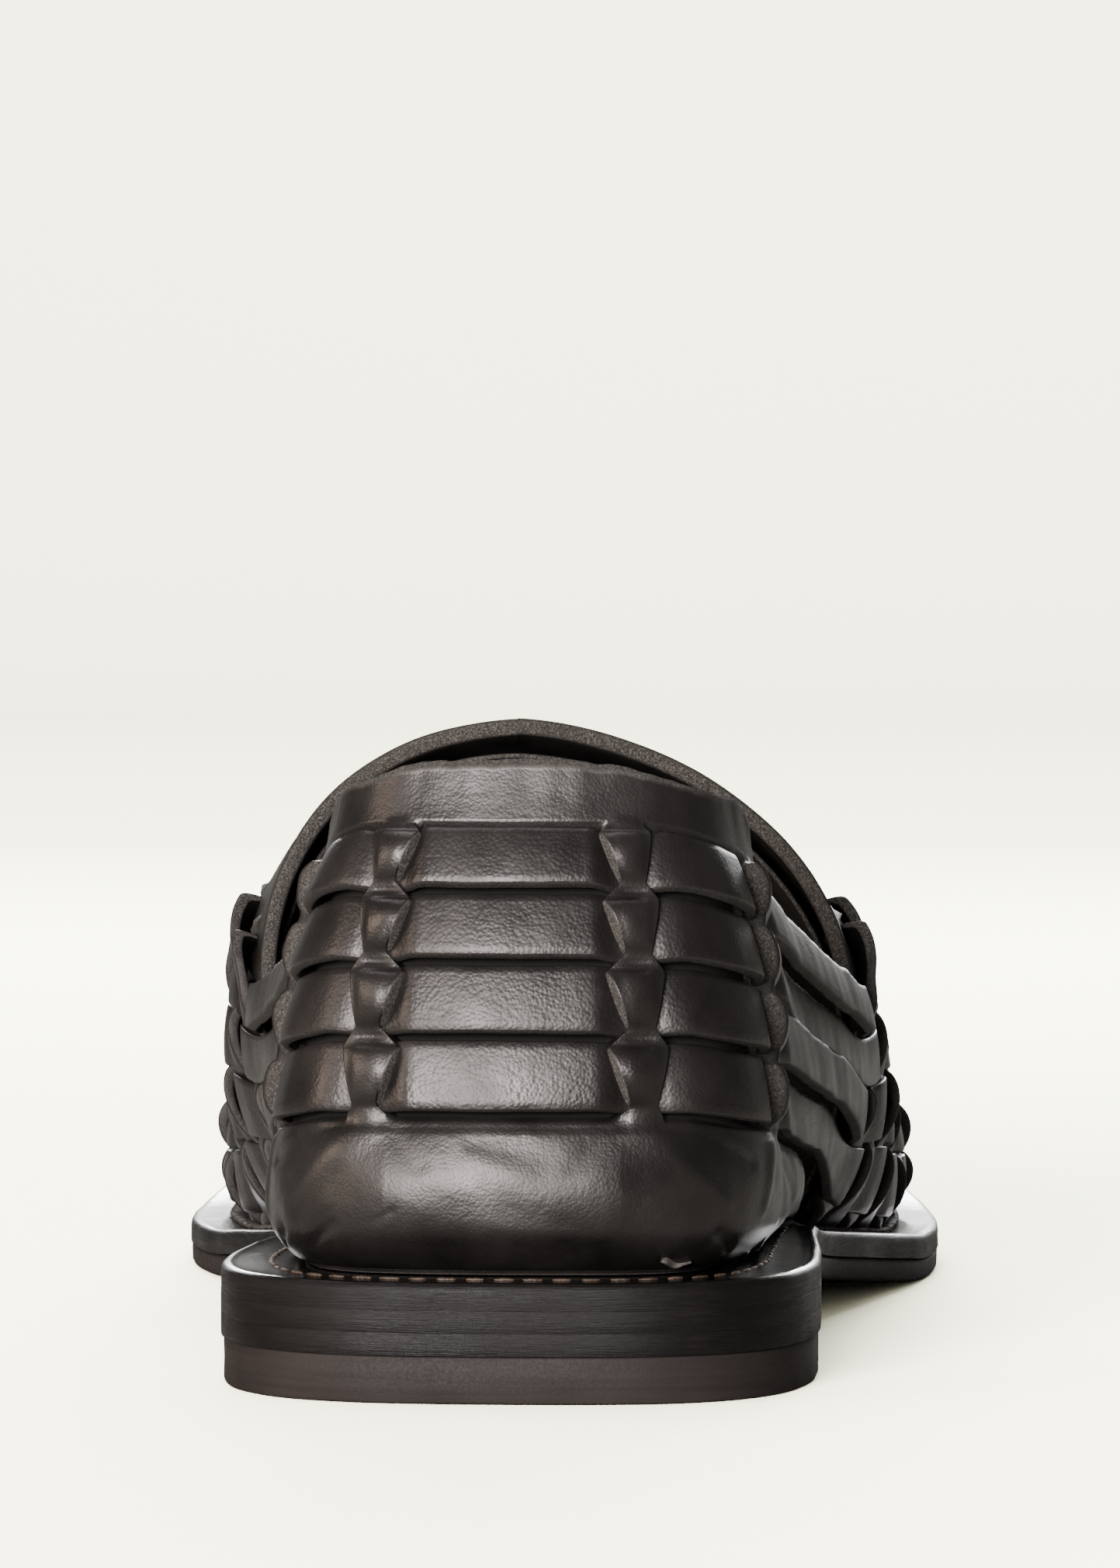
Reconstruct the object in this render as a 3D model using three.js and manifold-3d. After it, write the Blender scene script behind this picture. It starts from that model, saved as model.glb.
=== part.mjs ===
// A right-foot huarache slip-on, a woven leather shoe, in millimetres: +X lateral, +Y towards the toe, +Z up.
// The origin is on the floor under the heel. All leather pieces follow one form, the outside of the woven wall.
import * as THREE from "three";
import { mergeVertices } from "three/addons/utils/BufferGeometryUtils.js";
import Module from "manifold-3d";

const wasm = await Module();
wasm.setup();

// Driving sizes of the shoe.
const SOLE_LENGTH = 292;
const BALL_WIDTH = 108;
const HEEL_WIDTH = 77;
const HEEL_SEAT = 15.3; // top of the leather sole at the heel, above the floor
const TOE_SPRING = 10;
const INSTEP_HEIGHT = 82; // top of the vamp at the throat, above the floor
const BACK_HEIGHT = 80; // top of the counter at the back, above the floor
const SOLE_LEATHER = 3.5;
const SOLE_RUBBER = 3.2;
const TOP_LIFT = 6.1;
const HEEL_LENGTH = 70; // back of the heel to its breast
const LEDGE = 6.5; // sole edge to the foot of the upper, at the ball
const INSOLE_THICKNESS = 2.4;
const UPPER_THICKNESS = 3.4; // two layers of leather
const LINING_THICKNESS = 1.7; // inner layer of the woven wall
const VAMP_THICKNESS = 2.0;
const COUNTER_THICKNESS = 1.9;
const STRIP_SINK = 0.6; // how far a level strip lies below an upright one
const STRIP_ROWS = 4;
const ROW_GAP = 1.1;
const UPRIGHT_WIDTH = 10.5;
const UPRIGHT_PITCH = 13.2;
const WEAVE_START = 100; // back of the heel to the first upright strip
const HOLE_RADIUS = 1.0; // gap at the corners of four strips
const SLOT_WIDTH = 1.8; // open gap between the level strips from the counter to the weave
const COUNTER_FRONT = 50; // round the wall from the middle of the back to the counter's front edge
const WING_FRONT = 106; // the same to the front of the counter's low wing
const WINDOW_GAP = 0.35; // strip to the edge of its slit in the counter
const GAP = 0.3; // clearance between curved pieces
const HEEL_REST = 35; // heel's resting point from the back of the sole

// Outline of the sole and shape of the upper at each station from heel to toe. along: share of the sole's length.
// ball: how far the width has gone from heel to ball. lateral, medial: shares of that width. ledge: share of LEDGE.
// ridge: where the section's top lies, as a share of the length. shift: how far it lies to the medial side, as a share
// of BALL_WIDTH.
// swellL, swellM: how far the wall swells past its foot, as shares of BALL_WIDTH. squareL, squareM: 1 is round.
// foot, top: lower and upper limits of the woven rows, as shares of the way from the sole to the ridge.
const STATIONS = [
  // name, along, ball, lateral, medial, ledge, ridge, shift, swellL, swellM, squareL, squareM, foot, top
  ["heel back", 0.0, 0, 0.0, 0.0, 1.05, 0.13, -0.03, 0.034, 0.034, 1.0, 1.0, 0.147, 0.438],
  ["heel corner", 0.008, 0, 0.27, 0.27, 1.1, 0.132, -0.03, 0.034, 0.03, 1.0, 1.0, 0.146, 0.438],
  ["heel turn", 0.04, 0, 0.427, 0.427, 1.2, 0.14, -0.03, 0.04, 0.022, 1.0, 1.0, 0.141, 0.43],
  ["heel side", 0.098, 0, 0.494, 0.494, 1.3, 0.158, -0.03, 0.046, 0.014, 1.0, 1.0, 0.135, 0.41],
  ["heel front", 0.178, 0, 0.494, 0.481, 1.25, 0.195, -0.02, 0.057, 0.03, 1.0, 1.0, 0.115, 0.35],
  ["shank", 0.267, 0.3, 0.423, 0.383, 0.95, 0.267, 0.01, 0.1, 0.085, 1.0, 0.9, 0.085, 0.305],
  ["waist", 0.356, 0.55, 0.393, 0.345, 0.75, 0.356, 0.048, 0.12, 0.142, 0.966, 0.72, 0.035, 0.317],
  ["joint", 0.452, 0.8, 0.412, 0.392, 0.9, 0.452, 0.053, 0.095, 0.14, 0.91, 0.64, 0.02, 0.44],
  ["ball rear", 0.548, 1, 0.44, 0.477, 1.1, 0.548, 0.055, 0.046, 0.058, 1.02, 0.75, 0.02, 0.49],
  ["ball", 0.634, 1, 0.458, 0.54, 1.2, 0.634, 0.055, 0.039, 0.03, 1.0, 0.8, 0.02, 0.49],
  ["ball front", 0.736, 1, 0.431, 0.546, 1.15, 0.713, 0.07, 0.043, 0.038, 0.95, 0.82, 0.02, 0.53],
  ["toe base", 0.832, 1, 0.362, 0.516, 1.0, 0.766, 0.098, 0.036, 0.036, 0.9, 0.85, 0.02, 0.58],
  ["toe side", 0.911, 1, 0.258, 0.452, 1.0, 0.805, 0.122, 0.032, 0.033, 0.88, 0.86, 0.02, 0.63],
  ["toe turn", 0.973, 1, 0.095, 0.345, 1.0, 0.83, 0.14, 0.03, 0.031, 0.86, 0.86, 0.02, 0.67],
  ["toe tip", 1.0, 1, -0.13, 0.13, 1.0, 0.84, 0.15, 0.03, 0.03, 0.86, 0.86, 0.02, 0.68],
].map(([name, along, ball, lateral, medial, ledge, ridge, shift, swellL, swellM, squareL, squareM, foot, top]) => ({
  name, along, ball, lateral, medial, ledge, ridge, shift, swellL, swellM, squareL, squareM, foot, top,
}));

// Top of the leather sole. heel: share of the heel's lift. spring: share of TOE_SPRING.
const SEAT_LINE = [
  // along, heel, spring
  [0.0, 1, 0],
  [0.28, 1, 0],
  [0.342, 0.76, 0],
  [0.445, 0.4, 0],
  [0.514, 0.17, 0],
  [0.58, 0, 0],
  [0.69, 0, 0],
  [0.8, 0, 0.17],
  [0.9, 0, 0.52],
  [1.0, 0, 1],
];

// Height of the ridge over the floor, as a share of INSTEP_HEIGHT.
const RIDGE_LINE = [
  // along, height
  [0.13, 1.27],
  [0.195, 1.2],
  [0.267, 1.11],
  [0.356, 0.991],
  [0.452, 0.872],
  [0.548, 0.732],
  [0.634, 0.618],
  [0.713, 0.532],
  [0.766, 0.485],
  [0.805, 0.462],
  [0.84, 0.445],
];

const LAST_STATION = STATIONS.length - 1; // the toe tip
const ROUND = 2 * LAST_STATION; // once round the shoe: lateral side out, medial side back
const SOLE_THICKNESS = SOLE_LEATHER + SOLE_RUBBER;

// Smooth curve through values that repeat once round the shoe.
function loopCurve(values) {
  const n = values.length;
  return (u) => {
    const i = Math.floor(u);
    const t = u - i;
    const [a, b, c, d] = [-1, 0, 1, 2].map((k) => values[(((i + k) % n) + n) % n]);
    return b + 0.5 * t * (c - a + t * (2 * a - 5 * b + 4 * c - d + t * (3 * (b - c) + d - a)));
  };
}

// Smooth curve through a table's points that never overshoots, so that a level stretch stays level.
function levelCurve(xs, ys) {
  const slopes = xs.slice(1).map((x, i) => (ys[i + 1] - ys[i]) / (x - xs[i]));
  const tangents = xs.map((_, i) => {
    const [before, after] = [slopes[i - 1] ?? slopes[i], slopes[i] ?? slopes[i - 1]];
    return before * after <= 0 ? 0 : (2 * before * after) / (before + after);
  });
  return (x) => {
    const at = Math.min(Math.max(x, xs[0]), xs[xs.length - 1]);
    const i = Math.min(Math.max(xs.findIndex((v) => v > at) - 1, 0), xs.length - 2);
    const k = at >= xs[xs.length - 1] ? xs.length - 2 : i;
    const h = xs[k + 1] - xs[k];
    const t = (at - xs[k]) / h;
    const flat = ys[k] * (1 + 2 * t) * (1 - t) ** 2 + ys[k + 1] * t * t * (3 - 2 * t);
    return flat + h * t * (1 - t) * (tangents[k] * (1 - t) - tangents[k + 1] * t);
  };
}

// A column of STATIONS as a curve round the shoe, its medial half from the medial column.
function stationCurve(lateral, medial = lateral) {
  const back = STATIONS.slice(1, LAST_STATION).reverse();
  return loopCurve([...STATIONS.map(lateral), ...back.map(medial)]);
}

const widthAt = (s) => HEEL_WIDTH + (BALL_WIDTH - HEEL_WIDTH) * s.ball;
const edgeX = stationCurve((s) => s.lateral * widthAt(s), (s) => -s.medial * widthAt(s));
const edgeY = stationCurve((s) => s.along * SOLE_LENGTH);
const ledge = stationCurve((s) => s.ledge * LEDGE);
const ridgeX = stationCurve((s) => -s.shift * BALL_WIDTH);
const ridgeY = stationCurve((s) => s.ridge * SOLE_LENGTH);
const swell = stationCurve((s) => s.swellL * BALL_WIDTH, (s) => s.swellM * BALL_WIDTH);
const square = stationCurve((s) => s.squareL, (s) => s.squareM);
const weaveFoot = stationCurve((s) => s.foot);
const weaveTop = stationCurve((s) => s.top);

const seatShares = [1, 2].map((column) => levelCurve(SEAT_LINE.map((r) => r[0]), SEAT_LINE.map((r) => r[column])));
const ridgeShare = levelCurve(RIDGE_LINE.map((r) => r[0]), RIDGE_LINE.map((r) => r[1]));

// Top of the leather sole at a distance y from the back of the heel.
function seat(y) {
  const [heel, spring] = seatShares.map((share) => share(y / SOLE_LENGTH));
  return SOLE_THICKNESS + (HEEL_SEAT - SOLE_THICKNESS) * heel + TOE_SPRING * spring;
}

// A point on the sole's outline at u, moved in by inset.
function outline(u, inset) {
  const step = 0.01;
  const along = new THREE.Vector2(edgeX(u + step) - edgeX(u - step), edgeY(u + step) - edgeY(u - step));
  along.normalize();
  return new THREE.Vector2(edgeX(u) - along.y * inset, edgeY(u) + along.x * inset);
}

// A point of the upper. u goes round the shoe, v from the sole (0) over the wall to the ridge (1), and depth goes
// inwards from the outside of the woven wall. Below v = 0 the wall goes on straight down.
function upperPoint(u, v, depth) {
  const foot = outline(u, ledge(u) + depth);
  const plain = outline(u, ledge(u));
  const ridge = new THREE.Vector2(ridgeX(u), ridgeY(u));
  const out = plain.clone().sub(ridge).normalize();
  const angle = (Math.max(v, 0) * Math.PI) / 2;
  const reach = Math.max(Math.cos(angle), 0) ** square(u);
  const swelling = swell(u) * Math.sin(Math.PI * Math.max(v, 0) ** 0.7);
  const at = ridge.clone().add(foot.clone().sub(ridge).multiplyScalar(reach)).addScaledVector(out, swelling);
  const low = seat(foot.y) + GAP;
  const high = INSTEP_HEIGHT * ridgeShare(ridge.y / SOLE_LENGTH) - depth;
  const below = Math.min(v, 0) * HEEL_SEAT;
  return new THREE.Vector3(at.x, at.y, low + (high - low) * Math.sin(angle) + below);
}

// The station coordinate on the lateral side whose outline lies y from the back of the heel.
function stationAt(y) {
  let [low, high] = [0, LAST_STATION];
  for (let i = 0; i < 40; i += 1) {
    const middle = (low + high) / 2;
    if (edgeY(middle) < y) low = middle;
    else high = middle;
  }
  return (low + high) / 2;
}

const ARC_STEPS = 40; // per station
const arcs = [0];
for (let i = 1; i <= LAST_STATION * ARC_STEPS; i += 1) {
  const [before, at] = [i - 1, i].map((k) => {
    const u = k / ARC_STEPS;
    return upperPoint(u, 0.5 * (weaveFoot(u) + weaveTop(u)), 0);
  });
  arcs.push(arcs[i - 1] + at.distanceTo(before));
}
const wallLength = arcs[arcs.length - 1];

// The station coordinate at a distance along the middle of the woven rows from the back of the heel, measured on the
// lateral side; a negative distance is its mirror on the medial side.
function uAtArc(distance) {
  const want = Math.min(Math.abs(distance), wallLength);
  const i = Math.max(arcs.findIndex((s) => s >= want), 1);
  const u = (i - 1 + (want - arcs[i - 1]) / (arcs[i] - arcs[i - 1])) / ARC_STEPS;
  return distance < 0 ? ROUND - u : u;
}

// Closed mesh from a triangle list, as a manifold-3d solid.
function solidOf(triangles) {
  const raw = new THREE.BufferGeometry();
  raw.setAttribute("position", new THREE.Float32BufferAttribute(triangles.flatMap((p) => [p.x, p.y, p.z]), 3));
  const merged = mergeVertices(raw, 2e-3);
  const index = merged.index.array;
  const kept = [];
  for (let i = 0; i < index.length; i += 3) {
    const [a, b, c] = [index[i], index[i + 1], index[i + 2]];
    if (a !== b && b !== c && c !== a) kept.push(a, b, c);
  }
  const make = (faces) =>
    new wasm.Manifold(
      new wasm.Mesh({
        numProp: 3,
        vertProperties: merged.attributes.position.array,
        triVerts: new Uint32Array(faces),
      }),
    );
  const made = make(kept);
  if (made.volume() >= 0) return made;
  const turned = [];
  for (let i = 0; i < kept.length; i += 3) turned.push(kept[i], kept[i + 2], kept[i + 1]);
  return make(turned);
}

function solidOfGeometry(geometry) {
  const flat = geometry.index ? geometry.toNonIndexed() : geometry;
  const position = flat.getAttribute("position");
  const corner = (_, i) => new THREE.Vector3().fromBufferAttribute(position, i);
  return solidOf(Array.from({ length: position.count }, corner));
}

// Two triangles for each cell of a grid; turned makes them face the other way.
function sheet(grid, turned = false) {
  const triangles = [];
  for (let i = 1; i < grid.length; i += 1)
    for (let j = 1; j < grid[i].length; j += 1) {
      const [a, b, c, d] = [grid[i - 1][j - 1], grid[i][j - 1], grid[i][j], grid[i - 1][j]];
      triangles.push(...(turned ? [a, c, b, a, d, c] : [a, b, c, a, c, d]));
    }
  return triangles;
}

// A slab between an outer and an inner sheet. A side in open is left, because there the sheet meets itself.
function slab(outer, inner, open = []) {
  const last = outer.length - 1;
  const edges = {
    start: [inner[0], outer[0]],
    end: [outer[last], inner[last]],
    low: [outer.map((row) => row[0]), inner.map((row) => row[0])],
    high: [inner.map((row) => row[row.length - 1]), outer.map((row) => row[row.length - 1])],
  };
  const sides = Object.entries(edges).filter(([name]) => !open.includes(name));
  return solidOf([...sheet(outer), ...sheet(inner, true), ...sides.flatMap(([, pair]) => sheet(pair))]);
}

function spread(from, to, count) {
  return Array.from({ length: count + 1 }, (_, i) => from + ((to - from) * i) / count);
}

// A deck of the sole: rings from bottom to top, each a function of u, over a run of lateral stations.
function deck(stations, levels) {
  const rings = levels.map((level) => stations.map((u) => [level(ROUND - u), level(u)]));
  const triangles = [...sheet(rings[0]), ...sheet(rings[rings.length - 1], true)];
  const around = (ring) => [...ring.map((pair) => pair[1]), ...ring.map((pair) => pair[0]).reverse(), ring[0][1]];
  for (let i = 1; i < rings.length; i += 1)
    triangles.push(...sheet([around(rings[i - 1]), around(rings[i])], true));
  return solidOf(triangles);
}

// A slab over a patch of the upper: place gives [u, v] for shares p and q of the patch, outerDepth the depth at q.
function patch(place, pCount, qCount, outerDepth, innerDepth) {
  const grid = (depth) =>
    spread(0, 1, pCount).map((p) => spread(0, 1, qCount).map((q) => upperPoint(...place(p, q), depth(q))));
  return slab(grid(outerDepth), grid(() => innerDepth));
}

// The share v at which the wall at u reaches a height over the floor.
function vAtHeight(u, z) {
  const [low, high] = [upperPoint(u, 0, 0).z, upperPoint(u, 1, 0).z];
  return (Math.asin(Math.min(Math.max((z - low) / (high - low), 0), 1)) * 2) / Math.PI;
}

const rowLine = (u, row) => weaveFoot(u) + ((weaveTop(u) - weaveFoot(u)) * row) / STRIP_ROWS;
// Distance up the wall at u between the middles of the two rows at a row line.
const rowPitchAt = (u, row) =>
  upperPoint(u, rowLine(u, row + 0.5), 0).distanceTo(upperPoint(u, rowLine(u, row - 0.5), 0));
const soleStations = (from, to) => spread(from, to, Math.ceil((to - from) * 3));
const heelBreast = stationAt(HEEL_LENGTH);
const weaveStart = stationAt(WEAVE_START);

// The leather sole runs the whole length. Its top edge is chamfered.
const EDGE_CHAMFER = 0.7;
function soleRing(inset, drop) {
  return (u) => {
    const at = outline(u, inset);
    return new THREE.Vector3(at.x, at.y, seat(at.y) - drop);
  };
}

function makeLeatherSole() {
  const rings = [soleRing(0, SOLE_LEATHER), soleRing(0, EDGE_CHAMFER), soleRing(EDGE_CHAMFER, 0)];
  return deck(soleStations(0, LAST_STATION), rings);
}

// The rubber forefoot sole runs from the heel's breast to the toe.
const RUBBER_INSET = 0.4;
function makeRubberSole() {
  const start = HEEL_LENGTH + GAP;
  const ring = (drop) => (u) => {
    const at = soleRing(RUBBER_INSET, drop)(u);
    const y = Math.max(at.y, start);
    return new THREE.Vector3(at.x, y, seat(y) - drop);
  };
  return deck(soleStations(stationAt(start), LAST_STATION), [ring(SOLE_THICKNESS), ring(SOLE_LEATHER + GAP)]);
}

// A flat lift of the heel, its breast hollowed.
const BREAST_HOLLOW = 4;
function makeLift(bottom, top, inset) {
  const stations = soleStations(0, heelBreast);
  const side = (u) => outline(u, inset);
  const points = [...stations.map((u) => side(ROUND - u)).reverse(), ...stations.slice(1).map(side)];
  const shape = new THREE.Shape(points);
  const medial = points[0];
  const last = points[points.length - 1];
  shape.quadraticCurveTo((last.x + medial.x) / 2, last.y - 2 * BREAST_HOLLOW, medial.x, medial.y);
  const depth = top - bottom;
  const geometry = new THREE.ExtrudeGeometry(shape, { depth, bevelEnabled: false, curveSegments: 8 });
  geometry.translate(0, 0, bottom);
  return solidOfGeometry(geometry);
}

// The insole lies on the leather sole inside the wall.
function makeInsole() {
  const ring = (rise) => (u) => {
    const at = upperPoint(u, 0, UPPER_THICKNESS + 2 * GAP);
    return new THREE.Vector3(at.x, at.y, seat(at.y) + GAP + rise);
  };
  return deck(soleStations(0, LAST_STATION), [ring(0), ring(INSOLE_THICKNESS)]);
}

// Opening of the foot: everything above the top line of the strips and behind the throat, as seen from the side.
const THROAT_APEX = 104; // back of the heel to the top of the throat's edge
const THROAT_BELLY = 4; // how far the throat's edge swings forward between its ends
const SEE_OVER = 40; // how far a cutting tool reaches past the shoe

function throatY(v) {
  const t = Math.min(Math.max((v - weaveTop(weaveStart)) / (1 - weaveTop(weaveStart)), 0), 1);
  return WEAVE_START + (THROAT_APEX - WEAVE_START) * t + 4 * THROAT_BELLY * t * (1 - t);
}

function makeOpening() {
  const strips = spread(0, weaveStart, 24).map((u) => {
    const at = upperPoint(u, weaveTop(u), LINING_THICKNESS);
    return [at.y, at.z];
  });
  const throat = spread(weaveTop(weaveStart), 1, 10)
    .slice(1)
    .map((v) => {
      const y = throatY(v);
      return [y, upperPoint(stationAt(y), v, LINING_THICKNESS).z];
    });
  const top = throat[throat.length - 1];
  const behind = [-SEE_OVER, strips[0][1]];
  const over = [[top[0], 2 * BACK_HEIGHT], [-SEE_OVER, 2 * BACK_HEIGHT]];
  const outlineYZ = [behind, ...strips, ...throat, ...over];
  const shape = new THREE.Shape(outlineYZ.map(([y, z]) => new THREE.Vector2(y, z)));
  const geometry = new THREE.ExtrudeGeometry(shape, { depth: 2 * BALL_WIDTH, bevelEnabled: false });
  // The shape's x and y are the shoe's y and z, and it runs across the shoe.
  geometry.applyMatrix4(new THREE.Matrix4().makeBasis(
    new THREE.Vector3(0, 1, 0), new THREE.Vector3(0, 0, 1), new THREE.Vector3(1, 0, 0)));
  geometry.translate(-BALL_WIDTH, 0, 0);
  return solidOfGeometry(geometry);
}

// Columns of the counter round the heel, and of its wing, shared with the wall under them.
const COUNTER_COLUMNS = [0, 0.17, 0.34, 0.5, 0.66, 0.84, 1.0]; // shares of COUNTER_FRONT
const WING_COLUMNS = [0, 0.18, 0.36, 0.52, 0.66, 0.78, 0.9]; // shares of the wing
const counterArcs = COUNTER_COLUMNS.map((share) => share * COUNTER_FRONT);
const wingStart = COUNTER_FRONT + ROW_GAP;
const wingArcs = WING_COLUMNS.map((share) => wingStart + share * (WING_FRONT - wingStart));

// Columns of the woven wall: those of counter and wing, then edges and grooves of the upright strips to the toe.
const weaveStartArc = arcs[Math.round(weaveStart * ARC_STEPS)];
const uprightCount = Math.floor((wallLength - weaveStartArc) / UPRIGHT_PITCH + 0.5);
const firstGroove = wallLength - (uprightCount - 0.5) * UPRIGHT_PITCH;

const PLAIN_COLUMNS = 3; // from the wing's front to the first upright strip
function lateralColumns() {
  const plainArcs = spread(WING_FRONT, firstGroove, PLAIN_COLUMNS).slice(0, -1);
  const heelArcs = [...counterArcs, ...wingArcs, ...plainArcs];
  const columns = heelArcs.map((arc) => ({ u: uAtArc(arc), strip: arc >= wingStart, upright: -1 }));
  for (let i = uprightCount - 1; i >= 0; i -= 1) {
    const middle = wallLength - i * UPRIGHT_PITCH;
    columns.push({ u: uAtArc(middle - UPRIGHT_PITCH / 2), groove: true });
    columns.push({ u: uAtArc(middle - UPRIGHT_WIDTH / 2), strip: true, upright: i });
    if (i > 0) columns.push({ u: uAtArc(middle + UPRIGHT_WIDTH / 2), strip: true, upright: i });
  }
  columns.push({ u: LAST_STATION, strip: true, upright: 0 });
  return columns;
}

function wallColumns() {
  const lateral = lateralColumns();
  const medial = lateral.slice(1, -1).reverse().map((column) => ({ ...column, u: ROUND - column.u }));
  return [...lateral, ...medial];
}

// Lines up the wall at a column: the foot, then the groove under each row and that row's lower edge, from which its
// face leans in to the groove under the next row, and the plain wall under the vamp.
const TOP_LINES = 4;
const ROW_PITCH = 9; // one row to the next at the heel
const edgeShare = ROW_GAP / ROW_PITCH;
function wallLines({ u }) {
  const lines = [{ v: 0 }];
  for (let row = 0; row < STRIP_ROWS; row += 1)
    lines.push({ v: rowLine(u, row) }, { v: rowLine(u, row + edgeShare), row });
  lines.push(...spread(weaveTop(u), 1, TOP_LINES).map((v) => ({ v })));
  return lines;
}

function weaveDepth(column, line) {
  if (line.row === undefined || !column.strip) return LINING_THICKNESS;
  if (column.upright < 0) return STRIP_SINK;
  return (column.upright + line.row) % 2 ? STRIP_SINK : 0;
}

// Slits of the counter: where a level strip comes out over it. from and to: millimetres round the wall from the back,
// lean: how much further apart the slits are at a strip's lower edge.
const BACK_SLIT = 13.1;
const SIDE_SLIT_REAR = 19.5;
const SIDE_SLIT_FRONT = 42.5;
const BACK_LEAN = 1.3;
const SIDE_LEAN = 0.8;
const WINDOWS = [
  { from: -BACK_SLIT, to: BACK_SLIT, lean: BACK_LEAN },
  { from: SIDE_SLIT_REAR, to: SIDE_SLIT_FRONT, lean: SIDE_LEAN },
  { from: -SIDE_SLIT_FRONT, to: -SIDE_SLIT_REAR, lean: SIDE_LEAN },
];

function windowPlace(window, row, inset) {
  return (p, q) => {
    const tilt = window.lean * (1 - 2 * q);
    const from = window.from + inset - tilt;
    const to = window.to - inset + tilt;
    const u = uAtArc(from + (to - from) * p);
    const share = edgeShare + (1 - 2 * edgeShare) * q;
    const tuck = inset / ((upperPoint(u, rowLine(u, row + 1), 0).z - upperPoint(u, rowLine(u, row), 0).z) || 1);
    return [u, rowLine(u, row + share + tuck * (1 - 2 * q))];
  };
}

// Strips stand out of the wall in the counter's windows, their lower edges furthest.
const LOUVRE = 1.0; // how much further out a strip's lower edge stands than its upper edge
function windowStrips() {
  const depth = (q) => LOUVRE * (q - 0.9);
  return WINDOWS.flatMap((window) =>
    spread(0, STRIP_ROWS - 1, STRIP_ROWS - 1).map((row) =>
      patch(windowPlace(window, row, WINDOW_GAP), 3, 1, depth, UPPER_THICKNESS - LINING_THICKNESS / 2)));
}

// A gap at the corners of four strips, through the wall.
function cornerHole(column, row) {
  const arc = wallLength - column * UPRIGHT_PITCH - UPRIGHT_PITCH / 2;
  return [1, -1].map((side) => {
    const u = (shift) => {
      const lateral = uAtArc(arc + shift);
      return side > 0 ? lateral : ROUND - lateral;
    };
    const middle = u(0);
    const dv = (HOLE_RADIUS / rowPitchAt(middle, row)) * (rowLine(middle, 1) - rowLine(middle, 0));
    const corners = [[u(-HOLE_RADIUS * side), 0], [middle, dv], [middle, -dv], [u(HOLE_RADIUS * side), 0]];
    const at = ([cu, shift]) => [cu, rowLine(middle, row) + shift];
    const place = (p, q) => at(corners[2 * p + q]);
    return patch(place, 1, 1, () => -LINING_THICKNESS, UPPER_THICKNESS + LINING_THICKNESS);
  });
}

// An open slot between two level strips on the way from the counter to the weave.
const SLOT_MARGIN = 7; // from the counter's front edge, and from the first upright
const SLOT_END = 0.08; // the share of its length at which its blunt ends are as wide as there
function rowSlot(row, side) {
  const from = COUNTER_FRONT + SLOT_MARGIN;
  const to = wallLength - uprightCount * UPRIGHT_PITCH - SLOT_MARGIN;
  return patch((p, q) => {
    const lateral = uAtArc(from + (to - from) * p);
    const swelling = Math.sin(Math.PI * Math.min(Math.max(p, SLOT_END), 1 - SLOT_END));
    const share = (SLOT_WIDTH * swelling * (q - 0.5)) / rowPitchAt(lateral, row);
    return [side > 0 ? lateral : ROUND - lateral, rowLine(lateral, row + share)];
  }, 4, 1, () => -LINING_THICKNESS, UPPER_THICKNESS + LINING_THICKNESS);
}

// The upper: one hollow wall, open at the foot's opening and underneath, its strips raised and the weave's gaps cut.
const INNER_LINES = 4;
function makeUpper(opening) {
  const columns = [...wallColumns(), wallColumns()[0]];
  const outside = columns.map((column) =>
    wallLines(column).map((line) => upperPoint(column.u, line.v, weaveDepth(column, line))));
  const inside = columns.map(({ u }) => spread(0, 1, INNER_LINES).map((v) => upperPoint(u, v, UPPER_THICKNESS)));
  let wall = slab(outside, inside, ["start", "end", "high"]).subtract(opening);
  for (const strip of windowStrips()) wall = wall.add(strip);
  for (let column = 0; column < uprightCount; column += 1)
    for (let row = 1; row < STRIP_ROWS; row += 1)
      if ((column + row) % 2) for (const hole of cornerHole(column, row)) wall = wall.subtract(hole);
  for (let row = 1; row < STRIP_ROWS; row += 1)
    for (const side of [1, -1]) wall = wall.subtract(rowSlot(row, side));
  return wall;
}

const VAMP_LIFT = LINING_THICKNESS - GAP; // depth of the inner face of vamp and counter

// Height of the counter's top edge. arc: share of COUNTER_FRONT, height: share of BACK_HEIGHT.
const COUNTER_TOP = [
  // arc, height
  [0.0, 1.0],
  [0.3, 0.99],
  [0.45, 0.968],
  [0.7, 0.937],
  [0.92, 0.915],
  [1.0, 0.88],
];
const counterTopShare = levelCurve(COUNTER_TOP.map((r) => r[0]), COUNTER_TOP.map((r) => r[1]));
const COUNTER_ROWS = 5;
const WING_ROWS = 2;
const wingRow = 0.12; // the wing's top, in rows under the lowest strip
const counterMargin = 0.3; // rows that are left over the highest strip, whatever the heights
const COUNTER_FOOT = 0.004; // its lower edge over the sole, as a share of the way to the ridge

const CUT_PAST = 2; // how far a cut reaches past both faces of the counter
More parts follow.
